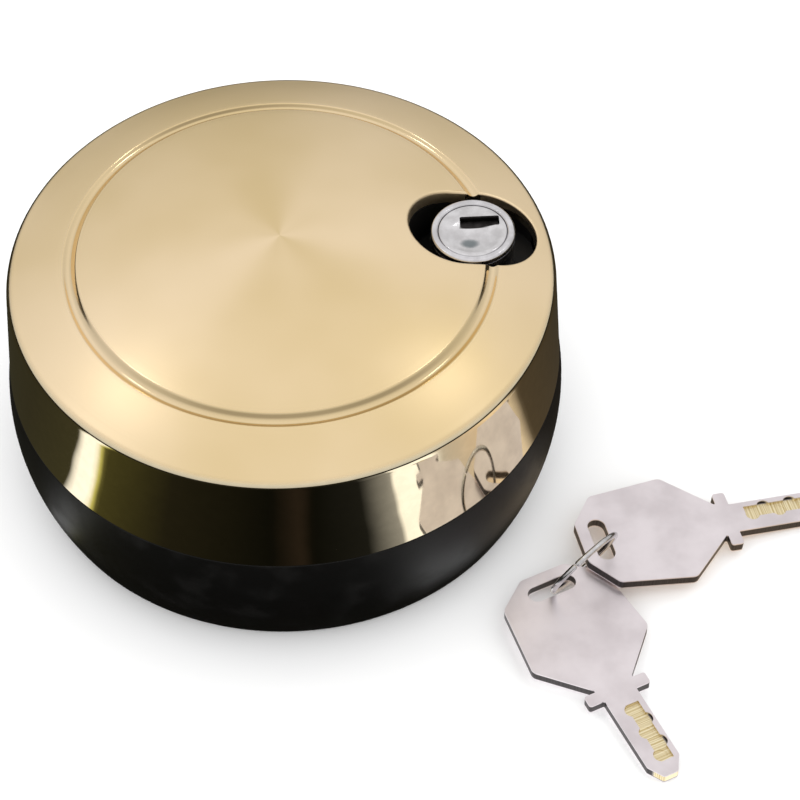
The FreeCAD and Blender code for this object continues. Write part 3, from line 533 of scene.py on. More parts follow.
def rounded(corners: Sequence[Corner], steps: int = 5, closed: bool = True) -> list[Point]:
    """Path through corners, each with its own rounding.

    Args:
        corners: (x, y, radius) of each corner.
        steps: pieces in each arc.
        closed: whether the last corner joins the first.

    Returns:
        The path's points.
    """
    points: list[Point] = []
    count = len(corners)
    for i, (x, y, radius) in enumerate(corners):
        ends = not closed and i in (0, count - 1)
        if radius <= 0 or ends:
            points.append((x, y))
            continue
        corner = Vector((x, y))
        back = (Vector(corners[i - 1][:2]) - corner).normalized()
        ahead = (Vector(corners[(i + 1) % count][:2]) - corner).normalized()
        half = back.angle(ahead) / 2
        centre = corner + (back + ahead).normalized() * (radius / math.sin(half))
        start = corner + back * (radius / math.tan(half)) - centre
        end = corner + ahead * (radius / math.tan(half)) - centre
        turn = math.atan2(start.x * end.y - start.y * end.x, start.dot(end))
        for k in range(steps + 1):
            spoke = Matrix.Rotation(turn * k / steps, 2) @ start
            points.append((centre.x + spoke.x, centre.y + spoke.y))
    return points


def arc(start: Point, through: Point, end: Point, steps: int) -> list[Point]:
    """Shallow arc through three points, by a quadratic through them.

    Args:
        start: first point.
        through: point half way.
        end: last point.
        steps: pieces in the arc.

    Returns:
        The arc's points.
    """
    points = []
    for k in range(steps + 1):
        t = k / steps
        a, b, c = 2 * (t - 0.5) * (t - 1), 4 * t * (1 - t), 2 * t * (t - 0.5)
        x = a * start[0] + b * through[0] + c * end[0]
        z = a * start[1] + b * through[1] + c * end[1]
        points.append((x, z))
    return points


def as_object(name: str, mesh: bmesh.types.BMesh) -> bpy.types.Object:
    """Turns finished mesh work into an object.

    Args:
        name: name of the object.
        mesh: the mesh work, in millimetres, which is freed.

    Returns:
        The object, in metres, in the scene.
    """
    bmesh.ops.remove_doubles(mesh, verts=mesh.verts, dist=1e-5)
    bmesh.ops.recalc_face_normals(mesh, faces=mesh.faces)
    data = bpy.data.meshes.new(name)
    mesh.to_mesh(data)
    mesh.free()
    data.transform(Matrix.Scale(MM, 4))
    thing = bpy.data.objects.new(name, data)
    bpy.context.scene.collection.objects.link(thing)
    return thing


def swept_round(name: str, profile_at: Callable[[float], list[Point]],
                segments: int = ROUND) -> bpy.types.Object:
    """Solid swept about the Z axis.

    Args:
        name: name of the object.
        profile_at: closed (radius, height) profile at an angle; it may start and end on the axis.
        segments: steps round the axis.

    Returns:
        The object.
    """
    mesh = bmesh.new()
    columns = []
    for i in range(segments):
        angle = 2 * math.pi * i / segments
        c, s = math.cos(angle), math.sin(angle)
        columns.append([mesh.verts.new((r * c, r * s, z)) for r, z in profile_at(angle)])
    count = len(columns[0])
    for i in range(segments):
        here, there = columns[i], columns[(i + 1) % segments]
        for k in range(count):
            near, far = k, (k + 1) % count
            if max(here[near].co.xy.length, here[far].co.xy.length) > 1e-6:
                mesh.faces.new((here[near], there[near], there[far], here[far]))
    bmesh.ops.dissolve_degenerate(mesh, dist=1e-6, edges=mesh.edges)
    return as_object(name, mesh)


def lathe(name: str, profile: list[Point], segments: int = ROUND) -> bpy.types.Object:
    """Solid of revolution of a closed (radius, height) profile."""
    return swept_round(name, lambda angle: profile, segments)


def prism(name: str, outline: Sequence[Point], low: float, high: float) -> bpy.types.Object:
    """Upright prism.

    Args:
        name: name of the object.
        outline: its outline, in order.
        low: height of its bottom.
        high: height of its top.

    Returns:
        The object.
    """
    mesh = bmesh.new()
    bottom = [mesh.verts.new((x, y, low)) for x, y in outline]
    top = [mesh.verts.new((x, y, high)) for x, y in outline]
    mesh.faces.new(bottom)
    mesh.faces.new(top)
    count = len(outline)
    for i in range(count):
        j = (i + 1) % count
        mesh.faces.new((bottom[i], bottom[j], top[j], top[i]))
    return as_object(name, mesh)


def obround(length: float, width: float, steps: int = 32) -> list[Point]:
    """Outline of a slot along X, centred on the origin.

    Args:
        length: whole length.
        width: whole width.
        steps: pieces in each round end.

    Returns:
        The outline's points.
    """
    radius = width / 2
    reach = length / 2 - radius
    ends = []
    for side in (1, -1):
        for k in range(steps + 1):
            angle = math.pi * (k / steps - 0.5)
            ends.append((side * (reach + radius * math.cos(angle)), side * radius * math.sin(angle)))
    return ends


def circle(radius: float, steps: int = 48, x: float = 0.0, y: float = 0.0) -> list[Point]:
    """Outline of a circle."""
    angles = [2 * math.pi * k / steps for k in range(steps)]
    return [(x + radius * math.cos(a), y + radius * math.sin(a)) for a in angles]


def slab(x0: float, x1: float, y0: float, y1: float) -> list[Point]:
    """Outline of a rectangle."""
    return [(x0, y0), (x1, y0), (x1, y1), (x0, y1)]


def at(thing: bpy.types.Object, turn: float = 0.0, x: float = 0.0, y: float = 0.0) -> bpy.types.Object:
    """Turns an object's mesh about Z, then moves it, in millimetres, and gives it back."""
    thing.data.transform(Matrix.Translation((x * MM, y * MM, 0.0)) @ Matrix.Rotation(turn, 4, "Z"))
    return thing


def settle(thing: bpy.types.Object) -> None:
    """Applies an object's modifiers to its mesh.

    Args:
        thing: the object.
    """
    graph = bpy.context.evaluated_depsgraph_get()
    graph.update()
    data = bpy.data.meshes.new_from_object(thing.evaluated_get(graph))
    thing.modifiers.clear()
    thing.data = data


def combine(body: bpy.types.Object, tools: Sequence[bpy.types.Object], how: Cut) -> None:
    """Combines a body with tools, one after the other, and takes the tools away.

    Args:
        body: the object that is changed.
        tools: the objects that it is combined with.
        how: what each tool does to the body.
    """
    for tool in tools:
        modifier = body.modifiers.new("combine", "BOOLEAN")
        modifier.operation = how.value
        modifier.solver = "EXACT"
        modifier.object = tool
        settle(body)
        bpy.data.objects.remove(tool)


def soften(body: bpy.types.Object, width: float, segments: int = 2, angle: float = 40.0) -> None:
    """Rounds every sharp edge.

    Args:
        body: the object.
        width: width of the rounding, in millimetres.
        segments: pieces across it.
        angle: edges sharper than this are rounded, in degrees.
    """
    modifier = body.modifiers.new("soften", "BEVEL")
    modifier.width = width * MM
    modifier.segments = segments
    modifier.limit_method = "ANGLE"
    modifier.angle_limit = math.radians(angle)
    modifier.use_clamp_overlap = True
    settle(body)


def dress(body: bpy.types.Object, finish: bpy.types.Material, smooth_below: float = 32.0) -> None:
    """Gives a piece its finish, and smooth shading except across sharp edges.

    Args:
        body: the piece.
        finish: its material.
        smooth_below: edges flatter than this shade smoothly, in degrees.
    """
    mesh = bmesh.new()
    mesh.from_mesh(body.data)
    limit = math.radians(smooth_below)
    for face in mesh.faces:
        face.smooth = True
        face.material_index = 0
    for edge in mesh.edges:
        edge.smooth = len(edge.link_faces) == 2 and edge.calc_face_angle(0.0) < limit
    mesh.to_mesh(body.data)
    mesh.free()
    modifier = body.modifiers.new("even_normals", "WEIGHTED_NORMAL")
    modifier.keep_sharp = True
    settle(body)
    body.data.materials.clear()
    body.data.materials.append(finish)


def place_piece(body: bpy.types.Object, node: str, rides: str) -> None:
    """Hangs a piece on its body's empty, hides the node it stands for, and reports it.

    Args:
        body: the piece.
        node: the node that it stands for.
        rides: the body that it rides on.
    """
    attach(body, rides)
    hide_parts(node)
    LOG.info("%s: %d faces, rides on %s", body.name, len(body.data.polygons), rides)


def middle(node: str) -> Vector:
    """Centre of a node's box, in millimetres."""
    low, high = low_high(node)
    return (low + high) / 2


def low_high(node: str) -> tuple[Vector, Vector]:
    """Corners of a node's box, in millimetres."""
    low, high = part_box(node)
    return Vector(low) / MM, Vector(high) / MM


# --- brass cover ------------------------------------------------------------------------------------------
@dataclass
class BrassCover:
    """The turned cover: crowned top with a ring groove and the lock's window, and a polished band."""

    crown_rise: float = 9.4
    edge_inset: float = 1.6
    edge_drop: float = 2.0
    band_flare: float = 1.1
    wall: float = 2.8
    groove_r: float = 38.25
    groove_half: float = 1.35
    groove_depth: float = 0.9
    window_lip: float = 0.5
    window: Point = (23.5, 17.8)
    window_low: float = 6.0
    edge_bulge: Point = (0.45, 0.72)
    boss_r: float = 3.4
    boss_circle_r: float = 41.8
    boss_base: float = 4.9
    boss_sink: float = 0.8

    def __post_init__(self) -> None:
        """Works out the sizes that the frame gives."""
        low, high = low_high("brass_cover")
        self.seam_z = low.z
        self.top_z = high.z
        self.seam_r = high.x
        self.edge_z = self.top_z - self.crown_rise
        self.shoulder_r = self.seam_r - self.band_flare
        self.edge_r = self.shoulder_r - self.edge_inset
        self.crown_r = (self.edge_r ** 2 + self.crown_rise ** 2) / (2 * self.crown_rise)
        self.lock = middle("lock_bezel")

    def crown_z(self, radius: float, inset: float = 0.0) -> float:
        """Height of the crown at a radius, or of a surface that lies inset under it."""
        return self.top_z - self.crown_r + math.sqrt((self.crown_r - inset) ** 2 - radius ** 2)

    def outer_height(self, radius: float) -> float:
        """Height of the top.

        Args:
            radius: distance from the cover's axis.

        Returns:
            The height there, groove included.
        """
        across = (radius - self.groove_r) / self.groove_half
        dip = self.groove_depth * (1 - across ** 2) ** 1.5 if abs(across) < 1 else 0.0
        return self.crown_z(radius) - dip

    def profile(self) -> list[Point]:
        """Profile of the shell.

        Returns:
            The closed profile, from the top's middle out and back under it.
        """
        start, stop = self.groove_r - self.groove_half, self.groove_r + self.groove_half
        radii = [start * k / 22 for k in range(22)]
        radii += [start + (stop - start) * k / 20 for k in range(21)]
        radii += [stop + (self.edge_r - stop) * k / 8 for k in range(1, 8)]
        points = [(r, self.outer_height(r)) for r in radii]
        inner_r = self.shoulder_r - self.wall
        shoulder_z = self.edge_z - self.edge_drop
        bulge = (self.shoulder_r - self.edge_bulge[0], self.edge_z - self.edge_bulge[1])
        points += arc((self.edge_r, self.crown_z(self.edge_r)), bulge, (self.shoulder_r, shoulder_z), 10)
        half_way = ((self.shoulder_r + self.seam_r) / 2, (shoulder_z + self.seam_z) / 2)
        points.append(half_way)
        corners = [(*half_way, 0.0), (self.seam_r, self.seam_z, 0.25)]
        corners += [(inner_r, self.seam_z, 0.2), (inner_r, self.crown_z(inner_r, self.wall), 0.8)]
        far = inner_r * 0.8
        corners.append((far, self.crown_z(far, self.wall), 0.0))
        points += rounded(corners, 4, closed=False)[1:]
        points += [(far * (1 - k / 8), self.crown_z(far * (1 - k / 8), self.wall)) for k in range(1, 9)]
        return points

    def window_cutter(self) -> bpy.types.Object:
        """The window's shape.

        Returns:
            The cutter, flared in a small rounded lip where it meets the crown.
        """
        mesh = bmesh.new()
        steps = 4
        levels = [(0.0, None)]
        for k in range(steps + 1):
            angle = math.pi / 2 * k / steps
            levels.append((self.window_lip * (1 - math.cos(angle)), self.window_lip * (math.sin(angle) - 1)))
        levels.append((self.window_lip * 1.2, None))
        rings = []
        c, s = math.cos(LOCK_ANGLE), math.sin(LOCK_ANGLE)
        flat = [self.seam_z + self.window_low, self.top_z + 2]
        for spread, lift in levels:
            outline = obround(self.window[0] + 2 * spread, self.window[1] + 2 * spread, 40)
            ring = []
            level = flat.pop(0) if lift is None else 0.0
            for x, y in outline:
                px, py = self.lock.x + c * x - s * y, self.lock.y + s * x + c * y
                z = level if lift is None else self.crown_z(math.hypot(px, py)) + lift
                ring.append(mesh.verts.new((px, py, z)))
            rings.append(ring)
        mesh.faces.new(rings[0])
        mesh.faces.new(rings[-1])
        for below, above in zip(rings, rings[1:]):
            for i in range(len(below)):
                j = (i + 1) % len(below)
                mesh.faces.new((below[i], below[j], above[j], above[i]))
        return as_object("window_cutter", mesh)

    def bosses(self) -> list[bpy.types.Object]:
        """The four screw bosses inside.

        Returns:
            The bosses, each sunk into the crown's underside.
        """
        base = self.seam_z + self.boss_base
        made = []
        for i in range(4):
            angle = LOCK_ANGLE + math.radians(45 + 90 * i)
            profile = rounded([(0, 0, 0), (self.boss_r, 0, 0.3), (self.boss_r, 1, 0), (0, 1, 0)], 3)
            top = self.crown_z(self.boss_circle_r + self.boss_r, self.wall) + self.boss_sink
            scaled = [(r, base + (top - base) * min(z, 1.0)) for r, z in profile]
            x, y = self.boss_circle_r * math.cos(angle), self.boss_circle_r * math.sin(angle)
            made.append(at(lathe("boss", scaled, 40), 0.0, x, y))
        return made

    def build(self) -> None:
        """Makes the piece."""
        shell = lathe("brass_cover_shell", self.profile(), 256)
        combine(shell, self.bosses(), Cut.JOIN)
        combine(shell, [self.window_cutter()], Cut.REMOVE)
        dress(shell, CoverBrass(self.edge_z, self.groove_r).build(), 38.0)
        place_piece(shell, "brass_cover", "cover")


# --- skirt ------------------------------------------------------------------------------------------------
@dataclass
class Skirt:
    """The black moulding: bulged wall, cored and ribbed underside, screw wells and spigot."""

    seam_r: float
    bulge: float = 1.95
    foot_inset: float = 3.7
    bore_r: float = 37.23
    bush_hole_r: float = 22.09
    web: Point = (23.4, 26.4)
    seam_z: float = 24.7
    spigot: Point = (43.95, 47.05)
    spigot_top: float = 29.5
    outer_wall: float = 3.2
    inner_wall: float = 2.6
    pocket_top: float = 20.0
    ribs: int = 24
    rib: float = 1.6
    well_r: float = 3.15
    well_top: float = 19.4
    screw_r: float = 1.8
    screw_circle_r: float = 41.83
    seat: Point = (16.7, 18.4)
    seat_depth: float = 1.1
    seal_groove: Point = (26.8, 28.9)
    seal_depth: float = 1.05
    guide_half: float = 7.0
    guide: Point = (6.15, 14.15)

    def profile(self) -> list[Point]:
        """Profile of the moulding before its bays and wells.

        Returns:
            The closed profile: outer wall up to the seam, spigot, web, bore and foot.
        """
        foot_r = self.seam_r - self.foot_inset
        belly = ((foot_r + self.seam_r) / 2 + self.bulge, self.seam_z / 2)
        wall = arc((foot_r, 0.0), belly, (self.seam_r, self.seam_z), 28)
        wall[0] = (foot_r - 0.7, 0.0)
        wall.insert(1, (foot_r - 0.45, 0.1))
        wall.insert(2, (foot_r - 0.05, 0.55))
        clip_r = self.bore_r + self.seat_depth
        groove_r, (groove_low, groove_high) = self.spigot[1] - self.seal_depth, self.seal_groove
        corners = [(*wall[-1], 0.2), (self.spigot[1], self.seam_z, 0.15), (self.spigot[1], groove_low, 0.0)]
        corners += [(groove_r, groove_low, 0.1), (groove_r, groove_high, 0.1)]
        corners.append((self.spigot[1], groove_high, 0.0))
        corners += [(self.spigot[1], self.spigot_top, 0.3), (self.spigot[0], self.spigot_top, 0.3)]
        corners += [(self.spigot[0], self.web[1], 0.6), (self.bush_hole_r, self.web[1], 0.1)]
        corners += [(self.bush_hole_r, self.web[0], 0.1), (self.bore_r, self.web[0], 0.3)]
        corners += [(self.bore_r, self.seat[1], 0.0), (clip_r, self.seat[1], 0.1), (clip_r, self.seat[0], 0.1)]
        corners += [(self.bore_r, self.seat[0], 0.0), (self.bore_r, 0.0, 0.5), (*wall[0], 0.0)]
        return wall[:-1] + rounded([(*wall[-2], 0.0)] + corners, 3, closed=False)[1:-1]

    def bay(self, index: int) -> bpy.types.Object:
        """One cored bay between two ribs.

        Args:
            index: which bay, from 0.

        Returns:
            The bay's shape, with rounded corners.
        """
        inner = self.bore_r + self.inner_wall
        outer = self.seam_r - self.foot_inset - self.outer_wall
        pitch = 2 * math.pi / self.ribs
        half_in = pitch / 2 - self.rib / 2 / inner
        half_out = pitch / 2 - self.rib / 2 / outer
        corners = [(inner * math.cos(half_in), -inner * math.sin(half_in), 0.8)]
        corners += [(outer * math.cos(half_out), -outer * math.sin(half_out), 0.8), (outer, 0.0, 0.0)]
        corners += [(outer * math.cos(half_out), outer * math.sin(half_out), 0.8)]
        corners += [(inner * math.cos(half_in), inner * math.sin(half_in), 0.8), (inner, 0.0, 0.0)]
        return at(prism("bay", rounded(corners, 4), -1.0, self.pocket_top), LOCK_ANGLE + index * pitch)

    def screw_places(self) -> list[Point]:
        """Centres of the four cover screws."""
        angles = [LOCK_ANGLE + math.radians(45 + 90 * i) for i in range(4)]
        return [(self.screw_circle_r * math.cos(a), self.screw_circle_r * math.sin(a)) for a in angles]

    def guides(self) -> list[bpy.types.Object]:
        """The bolt's guides.

        Returns:
            The two blocks on the web.
        """
        bracket_low, _ = low_high("lock_bracket")
        lock = middle("lock_bezel")
        made = []
        for side in (-1, 1):
            outline = rounded([(x, y, 0.5) for x, y in slab(-self.guide_half, self.guide_half, *self.guide)], 3)
            block = prism("guide", [(x, side * y) for x, y in outline], self.web[1] - 0.5, bracket_low.z)
            made.append(at(block, LOCK_ANGLE, lock.x, lock.y))
        return made

    def build(self) -> None:
        """Makes the piece."""
        body = lathe("skirt_moulding", self.profile(), 240)
        combine(body, [self.bay(i) for i in range(self.ribs)], Cut.REMOVE)
        column_r = self.well_r + self.rib
        places = self.screw_places()
        columns = [prism("column", circle(column_r, 48, x, y), 0.05, self.pocket_top + 0.5) for x, y in places]
        combine(body, columns + self.guides(), Cut.JOIN)
        wells = [prism("well", circle(self.well_r, 48, x, y), -1.0, self.well_top) for x, y in places]
        holes = [prism("hole", circle(self.screw_r, 32, x, y), 0.0, self.spigot_top + 1) for x, y in places]
        combine(body, wells + holes, Cut.REMOVE)
        dress(body, BlackMoulding().build())
        place_piece(body, "skirt_base", "cover")


# --- screw cap --------------------------------------------------------------------------------------------
@dataclass
class ScrewCap:
    """The threaded cap that goes on the filler neck, with its gasket and notched hub."""

    crest_r: float = 28.33
    pitch: float = 2.309
    thread_depth: float = 1.45
    socket_depth: float = 16.0
    recess_r: float = 30.93
    recess_top: float = 18.5
    outer_r: float = 33.53
    flange_r: float = 36.6
    flange: Point = (18.8, 22.0)
    hub_r: float = 20.0
    hub_top: float = 32.0
    pocket_r: float = 9.0
    pocket_low: float = 24.0
    notches: int = 12
    notch_w: float = 5.8
    notch_floor_r: float = 14.3
    notch_low: float = 26.4
    gasket_bore_r: float = 23.5

    def wall_at(self, angle: float) -> list[Point]:
        """The threaded wall at an angle.

        Args:
            angle: angle round the cap's axis.

        Returns:
            The wall's points, from the recess down to the mouth.
        """
        points = []
        steps = 98
        for k in range(steps + 1):
            z = self.socket_depth * (1 - k / steps)
            phase = (z / self.pitch - angle / (2 * math.pi)) % 1.0
            ridge = min(1.0, max(0.0, abs(phase - 0.5) * 2.6 - 0.15))
            fade = min(1.0, (self.socket_depth - z) / 1.5, z / 1.2)
            points.append((self.crest_r + self.thread_depth * ((1 - fade) * 0.55 + fade * ridge), z))
        return points

    def profile_at(self, angle: float) -> list[Point]:
        """Profile of the cap at an angle.

        Args:
            angle: angle round the cap's axis.

        Returns:
            The closed profile, from the axis under the end wall, round the wall and back over the hub.
        """
        recess = [(0, self.recess_top, 0), (self.recess_r, self.recess_top, 0.3)]
        inside = rounded(recess + [(self.recess_r, self.socket_depth, 0)], 3, closed=False)
        under, over = self.flange
        outside = [(self.outer_r, 0.0, 0.6), (self.outer_r, under, 0.3), (self.flange_r, under, 0.3)]
        outside += [(self.flange_r, over, 0.3), (self.hub_r, over, 0.2), (self.hub_r, self.hub_top, 0.5)]
        outside += [(self.pocket_r, self.hub_top, 0.4), (self.pocket_r, self.pocket_low, 0.5)]
        outside.append((0, self.pocket_low, 0))
        mouth = self.wall_at(angle)
        shell = rounded([(*mouth[-1], 0)] + outside, 3, closed=False)[1:]
        return inside + mouth + shell

    def notch(self, index: int) -> bpy.types.Object:
        """One bolt notch in the hub.

        Args:
            index: which notch, from 0.

        Returns:
            The notch's shape, with rounded inner corners.
        """
        corners = slab(self.notch_floor_r, self.hub_r + 2, -self.notch_w / 2, self.notch_w / 2)
        outline = rounded([(x, y, radius) for (x, y), radius in zip(corners, (0.6, 0.0, 0.0, 0.6))], 4)
        turn = LOCK_ANGLE + math.radians(360 / self.notches * index)
        return at(prism("notch", outline, self.notch_low, self.hub_top + 1), turn)

    def build(self) -> None:
        """Makes the cap and its gasket."""
        cap = swept_round("threaded_cap", self.profile_at, 144)
        combine(cap, [self.notch(i) for i in range(self.notches)], Cut.REMOVE)
        dress(cap, CAST_BRASS.build(), 30.0)
        place_piece(cap, "screw_cap", "screw_cap")
        low, high = low_high("neck_gasket")
        outline = [(x, z, 0.35) for x, z in slab(self.gasket_bore_r, high.x, low.z, high.z)]
        gasket = lathe("gasket_ring", rounded(outline, 4), 160)
        dress(gasket, SEAL_RUBBER.build())
        place_piece(gasket, "neck_gasket", "screw_cap")


# --- lock -------------------------------------------------------------------------------------------------
@dataclass
class Lock:
    """What shows of the lock: bezel, and dished plug with its keyway."""

    bezel_r: float = 7.75
    bore_r: float = 6.37
    plug_r: float = 6.3
    keyway: Point = (7.2, 2.3)
    keyway_at: Point = (1.4, 2.3)
    dish_r: float = 5.2
    dish_depth: float = 0.9
    dish_y: float = -1.9
    # where the plug's painted dark reflection sits, from the lock's axis
    painted_dark_at: Point = (-0.7, -2.5)
    tail_r: float = 3.5
    tail_square: float = 4.0
    tail_l: float = 3.8
    collar_l: float = 1.4

    def __post_init__(self) -> None:
        """Works out the lock's axis and heights."""
        low, high = low_high("lock_bezel")
        self.axis = middle("lock_bezel")
        self.bezel_z = (low.z, high.z)
        plug_low, plug_high = low_high("lock_plug")
        self.plug_z = (plug_low.z, plug_high.z)

    def bezel(self) -> None:
        """The bright ring, crowned a little, with soft inner and outer edges."""
        low, high = self.bezel_z
        corners = [(self.bore_r, low, 0.1), (self.bezel_r, low, 0.1), (self.bezel_r, high - 0.35, 0.3)]
        corners += [(self.bezel_r - 0.35, high, 0.3), (self.bore_r + 0.25, high, 0.2)]
        corners.append((self.bore_r, high - 0.25, 0.2))
        ring = at(lathe("bezel_ring", rounded(corners, 4), 128), 0.0, self.axis.x, self.axis.y)
        dress(ring, LOCK_CHROME.build())
        place_piece(ring, "lock_bezel", "cover")

    def plug(self) -> None:
        """The plug: face with the dish and the keyway, round body, tail and square."""
        low, face = self.plug_z
        body_low = low + self.tail_l
        profile = [(0, body_low, 0), (self.plug_r, body_low, 0.2), (self.plug_r, face, 0.3), (0, face, 0)]
        body = lathe("plug_body", rounded(profile, 4, closed=False), 128)
        sphere = (self.dish_r ** 2 + self.dish_depth ** 2) / (2 * self.dish_depth)
        slope = math.asin(self.dish_r / sphere)
        bowl = []
        for k in range(13):
            spoke = slope * 1.25 * k / 12
            bowl.append((sphere * math.sin(spoke), face + sphere - self.dish_depth - sphere * math.cos(spoke)))
        bowl.append((0.0, bowl[-1][1]))
        dish = at(lathe("dish", bowl, 96), 0.0, 0.0, self.dish_y)
        reach = prism("reach", circle(self.plug_r - 0.9, 96), face - 3, face + 3)
        combine(dish, [reach], Cut.KEEP_SHARED)
        half_l, half_w = self.keyway[0] / 2, self.keyway[1] / 2
        x, y = self.keyway_at
        corners = [(a, b, 0.35) for a, b in slab(x - half_l, x + half_l, y - half_w, y + half_w)]
        slot = prism("slot", rounded(corners, 4), body_low + 3.2, face + 1)
        pocket = prism("pocket", slab(x - half_l, x + half_l, 0.0, y), face - 4.6, face - 1.1)
        combine(body, [dish, slot, pocket], Cut.REMOVE)
        tail = prism("tail", circle(self.tail_r, 48), body_low - self.collar_l, body_low + 0.5)
        half = self.tail_square / 2
        corners = [(a, b, 0.2) for a, b in slab(-half, half, -half, half)]
        square = prism("square", rounded(corners, 3), low, body_low)
        combine(body, [tail, at(square, LOCK_ANGLE)], Cut.JOIN)
        at(body, 0.0, self.axis.x, self.axis.y)
        across = (self.axis.x + x - half_l, self.axis.x + x + half_l)
        deep = (self.axis.y + y - half_w, self.axis.y + y + half_w)
        painted_dark_at = (self.axis.x + self.painted_dark_at[0], self.axis.y + self.painted_dark_at[1])
        dress(body, PlugChrome(face, across, deep, painted_dark_at).build())
        place_piece(body, "lock_plug", "lock_plug")

    def build(self) -> None:
        """Makes the pieces."""
        self.bezel()
        self.plug()


# --- keys -------------------------------------------------------------------------------------------------
@dataclass
class Key:
    """One flat key: six-sided bow with a slot, stop bar, and a blade with a milled track."""

    name: str
    heading: float
    ring_at: Point
    thickness: float = 2.0
    length: float = 48.5
    bow_end_half: float = 4.5
    shoulder: Point = (4.5, 10.3)
    widest: Point = (18.8, 11.9)
    bow_foot: Point = (28.0, 3.0)
    stop_x: Point = (27.5, 29.9)
    stop_half: float = 6.2
    blade_half: float = 3.25
    tip: Point = (3.0, 1.4)
    slot_x: float = 3.9
    slot: Point = (9.6, 3.4)
    track: Point = (2.6, 0.55)
    track_y: float = 0.9
    dimples: int = 5
    dimple_r: float = 1.35

    def outline(self) -> list[Point]:
        """The key's outline.

        Returns:
            The outline, from the bow's far end to the blade's tip and back.
        """
        slope = (self.bow_foot[1] - self.widest[1]) / (self.bow_foot[0] - self.widest[0])
        neck = self.widest[1] + slope * (self.stop_x[0] - self.widest[0])
        side = [(0.0, self.bow_end_half, 1.6), (*self.shoulder, 1.6), (*self.widest, 1.6)]
        side += [(self.stop_x[0], neck, 0.25), (self.stop_x[0], self.stop_half, 0.5)]
        side += [(self.stop_x[1], self.stop_half, 0.5), (self.stop_x[1], self.blade_half, 0.3)]
        side += [(self.length - self.tip[0], self.blade_half, 0.8), (self.length, self.tip[1], 0.7)]
        return rounded(side + [(x, -y, r) for x, y, r in reversed(side)], 6)

    def track_cutter(self) -> bpy.types.Object:
        """The milled track.

        Returns:
            The track with its dimples, as one shape.
        """
        start = self.stop_x[1] + 2.5
        end = self.length - self.tip[0]
        low, high = self.thickness - self.track[1], self.thickness + 1
        half = self.track[0] / 2
        groove = prism("groove", slab(start, end, self.track_y - half, self.track_y + half), low, high)
        pitch = (end - start) / self.dimples
        pits = []
        for i in range(self.dimples):
            y = self.track_y + (self.dimple_r / 2 if i % 2 else -self.dimple_r / 2)
            outline = circle(self.dimple_r, 32, start + (i + 0.5) * pitch, y)
            pits.append(prism("dimple", outline, low - 0.02 * (i + 1), high))
        combine(groove, pits, Cut.JOIN)
        return groove

    def placement(self) -> Matrix:
        """Where the key lies.

        Returns:
            The move that puts its slot on the ring, its underside to the floor and its tip on it.
        """
        joint = next(j for j in frame["joints"] if j["name"] == self.name + "_swing")
        up = Vector(joint["axis"]).normalized()
        ahead = Vector((math.cos(self.heading), math.sin(self.heading), 0.0))
        ahead = (ahead - up * ahead.dot(up)).normalized()
        side = up.cross(ahead)
        turn = Matrix((ahead, side, up)).transposed().to_4x4()
        held = Vector((self.ring_at[0], self.ring_at[1], self.thickness / 2)) * MM
        return Matrix.Translation(Vector(joint["pos_m"]) - turn.to_3x3() @ held) @ turn

    def build(self) -> None:
        """Makes the key and lays it in its place."""
        body = prism(self.name + "_blank", self.outline(), 0.0, self.thickness)
        hole = prism("hole", obround(self.slot[0], self.slot[1], 12), -1.0, self.thickness + 1)
        at(hole, math.pi / 2, self.slot_x)
        combine(body, [hole, self.track_cutter()], Cut.REMOVE)
        soften(body, 0.18, 2, 50.0)
        laid = self.placement()
        body.data.transform(laid)
        dress(body, KeyPlate(self.name + "_nickel", laid, self.thickness, self.stop_x[1]).build())
        place_piece(body, self.name, self.name)


@dataclass
class KeyRing:
    """The wire ring: one turn of round wire with its two ends meeting."""

    wire_r: float = 0.55
    gap_mm: float = 0.25
    leans: Triple = (-1.0, 1.0, 1.0)
    joint_at: float = 0.9

    def build(self) -> None:
        """Makes the ring where its node lies."""
        low, high = low_high("key_ring")
        centre = middle("key_ring")
        reach = [(high[i] - low[i]) / 2 - self.wire_r for i in range(3)]
        radius = math.sqrt(sum(r * r for r in reach) / 2)
        tilt = [math.sqrt(max(0.0, 1 - (r / radius) ** 2)) * s for r, s in zip(reach, self.leans)]
        normal = Vector(tilt).normalized()
        across = Vector((0, 0, 1)).cross(normal).normalized()
        rise = normal.cross(across)
        mesh = bmesh.new()
        steps, sides = 160, 20
        half_gap = self.gap_mm / 2 / radius
        rings = []
        for k in range(steps + 1):
            angle = self.joint_at + half_gap + (2 * math.pi - 2 * half_gap) * k / steps
            out = across * math.cos(angle) + rise * math.sin(angle)
            shrink = 0.8 if k in (0, steps) else 1.0
            core = centre + out * radius
            spokes = [2 * math.pi * i / sides for i in range(sides)]
            offsets = [(out * math.cos(a) + normal * math.sin(a)) * self.wire_r * shrink for a in spokes]
            rings.append([mesh.verts.new(core + offset) for offset in offsets])
        for near, far in zip(rings, rings[1:]):
            for i in range(sides):
                j = (i + 1) % sides
                mesh.faces.new((near[i], near[j], far[j], far[i]))
        mesh.faces.new(rings[0])
        mesh.faces.new(rings[-1])
        ring = as_object("wire_ring", mesh)
        dress(ring, RING_WIRE.build(), 40.0)
        place_piece(ring, "key_ring", "key_ring")


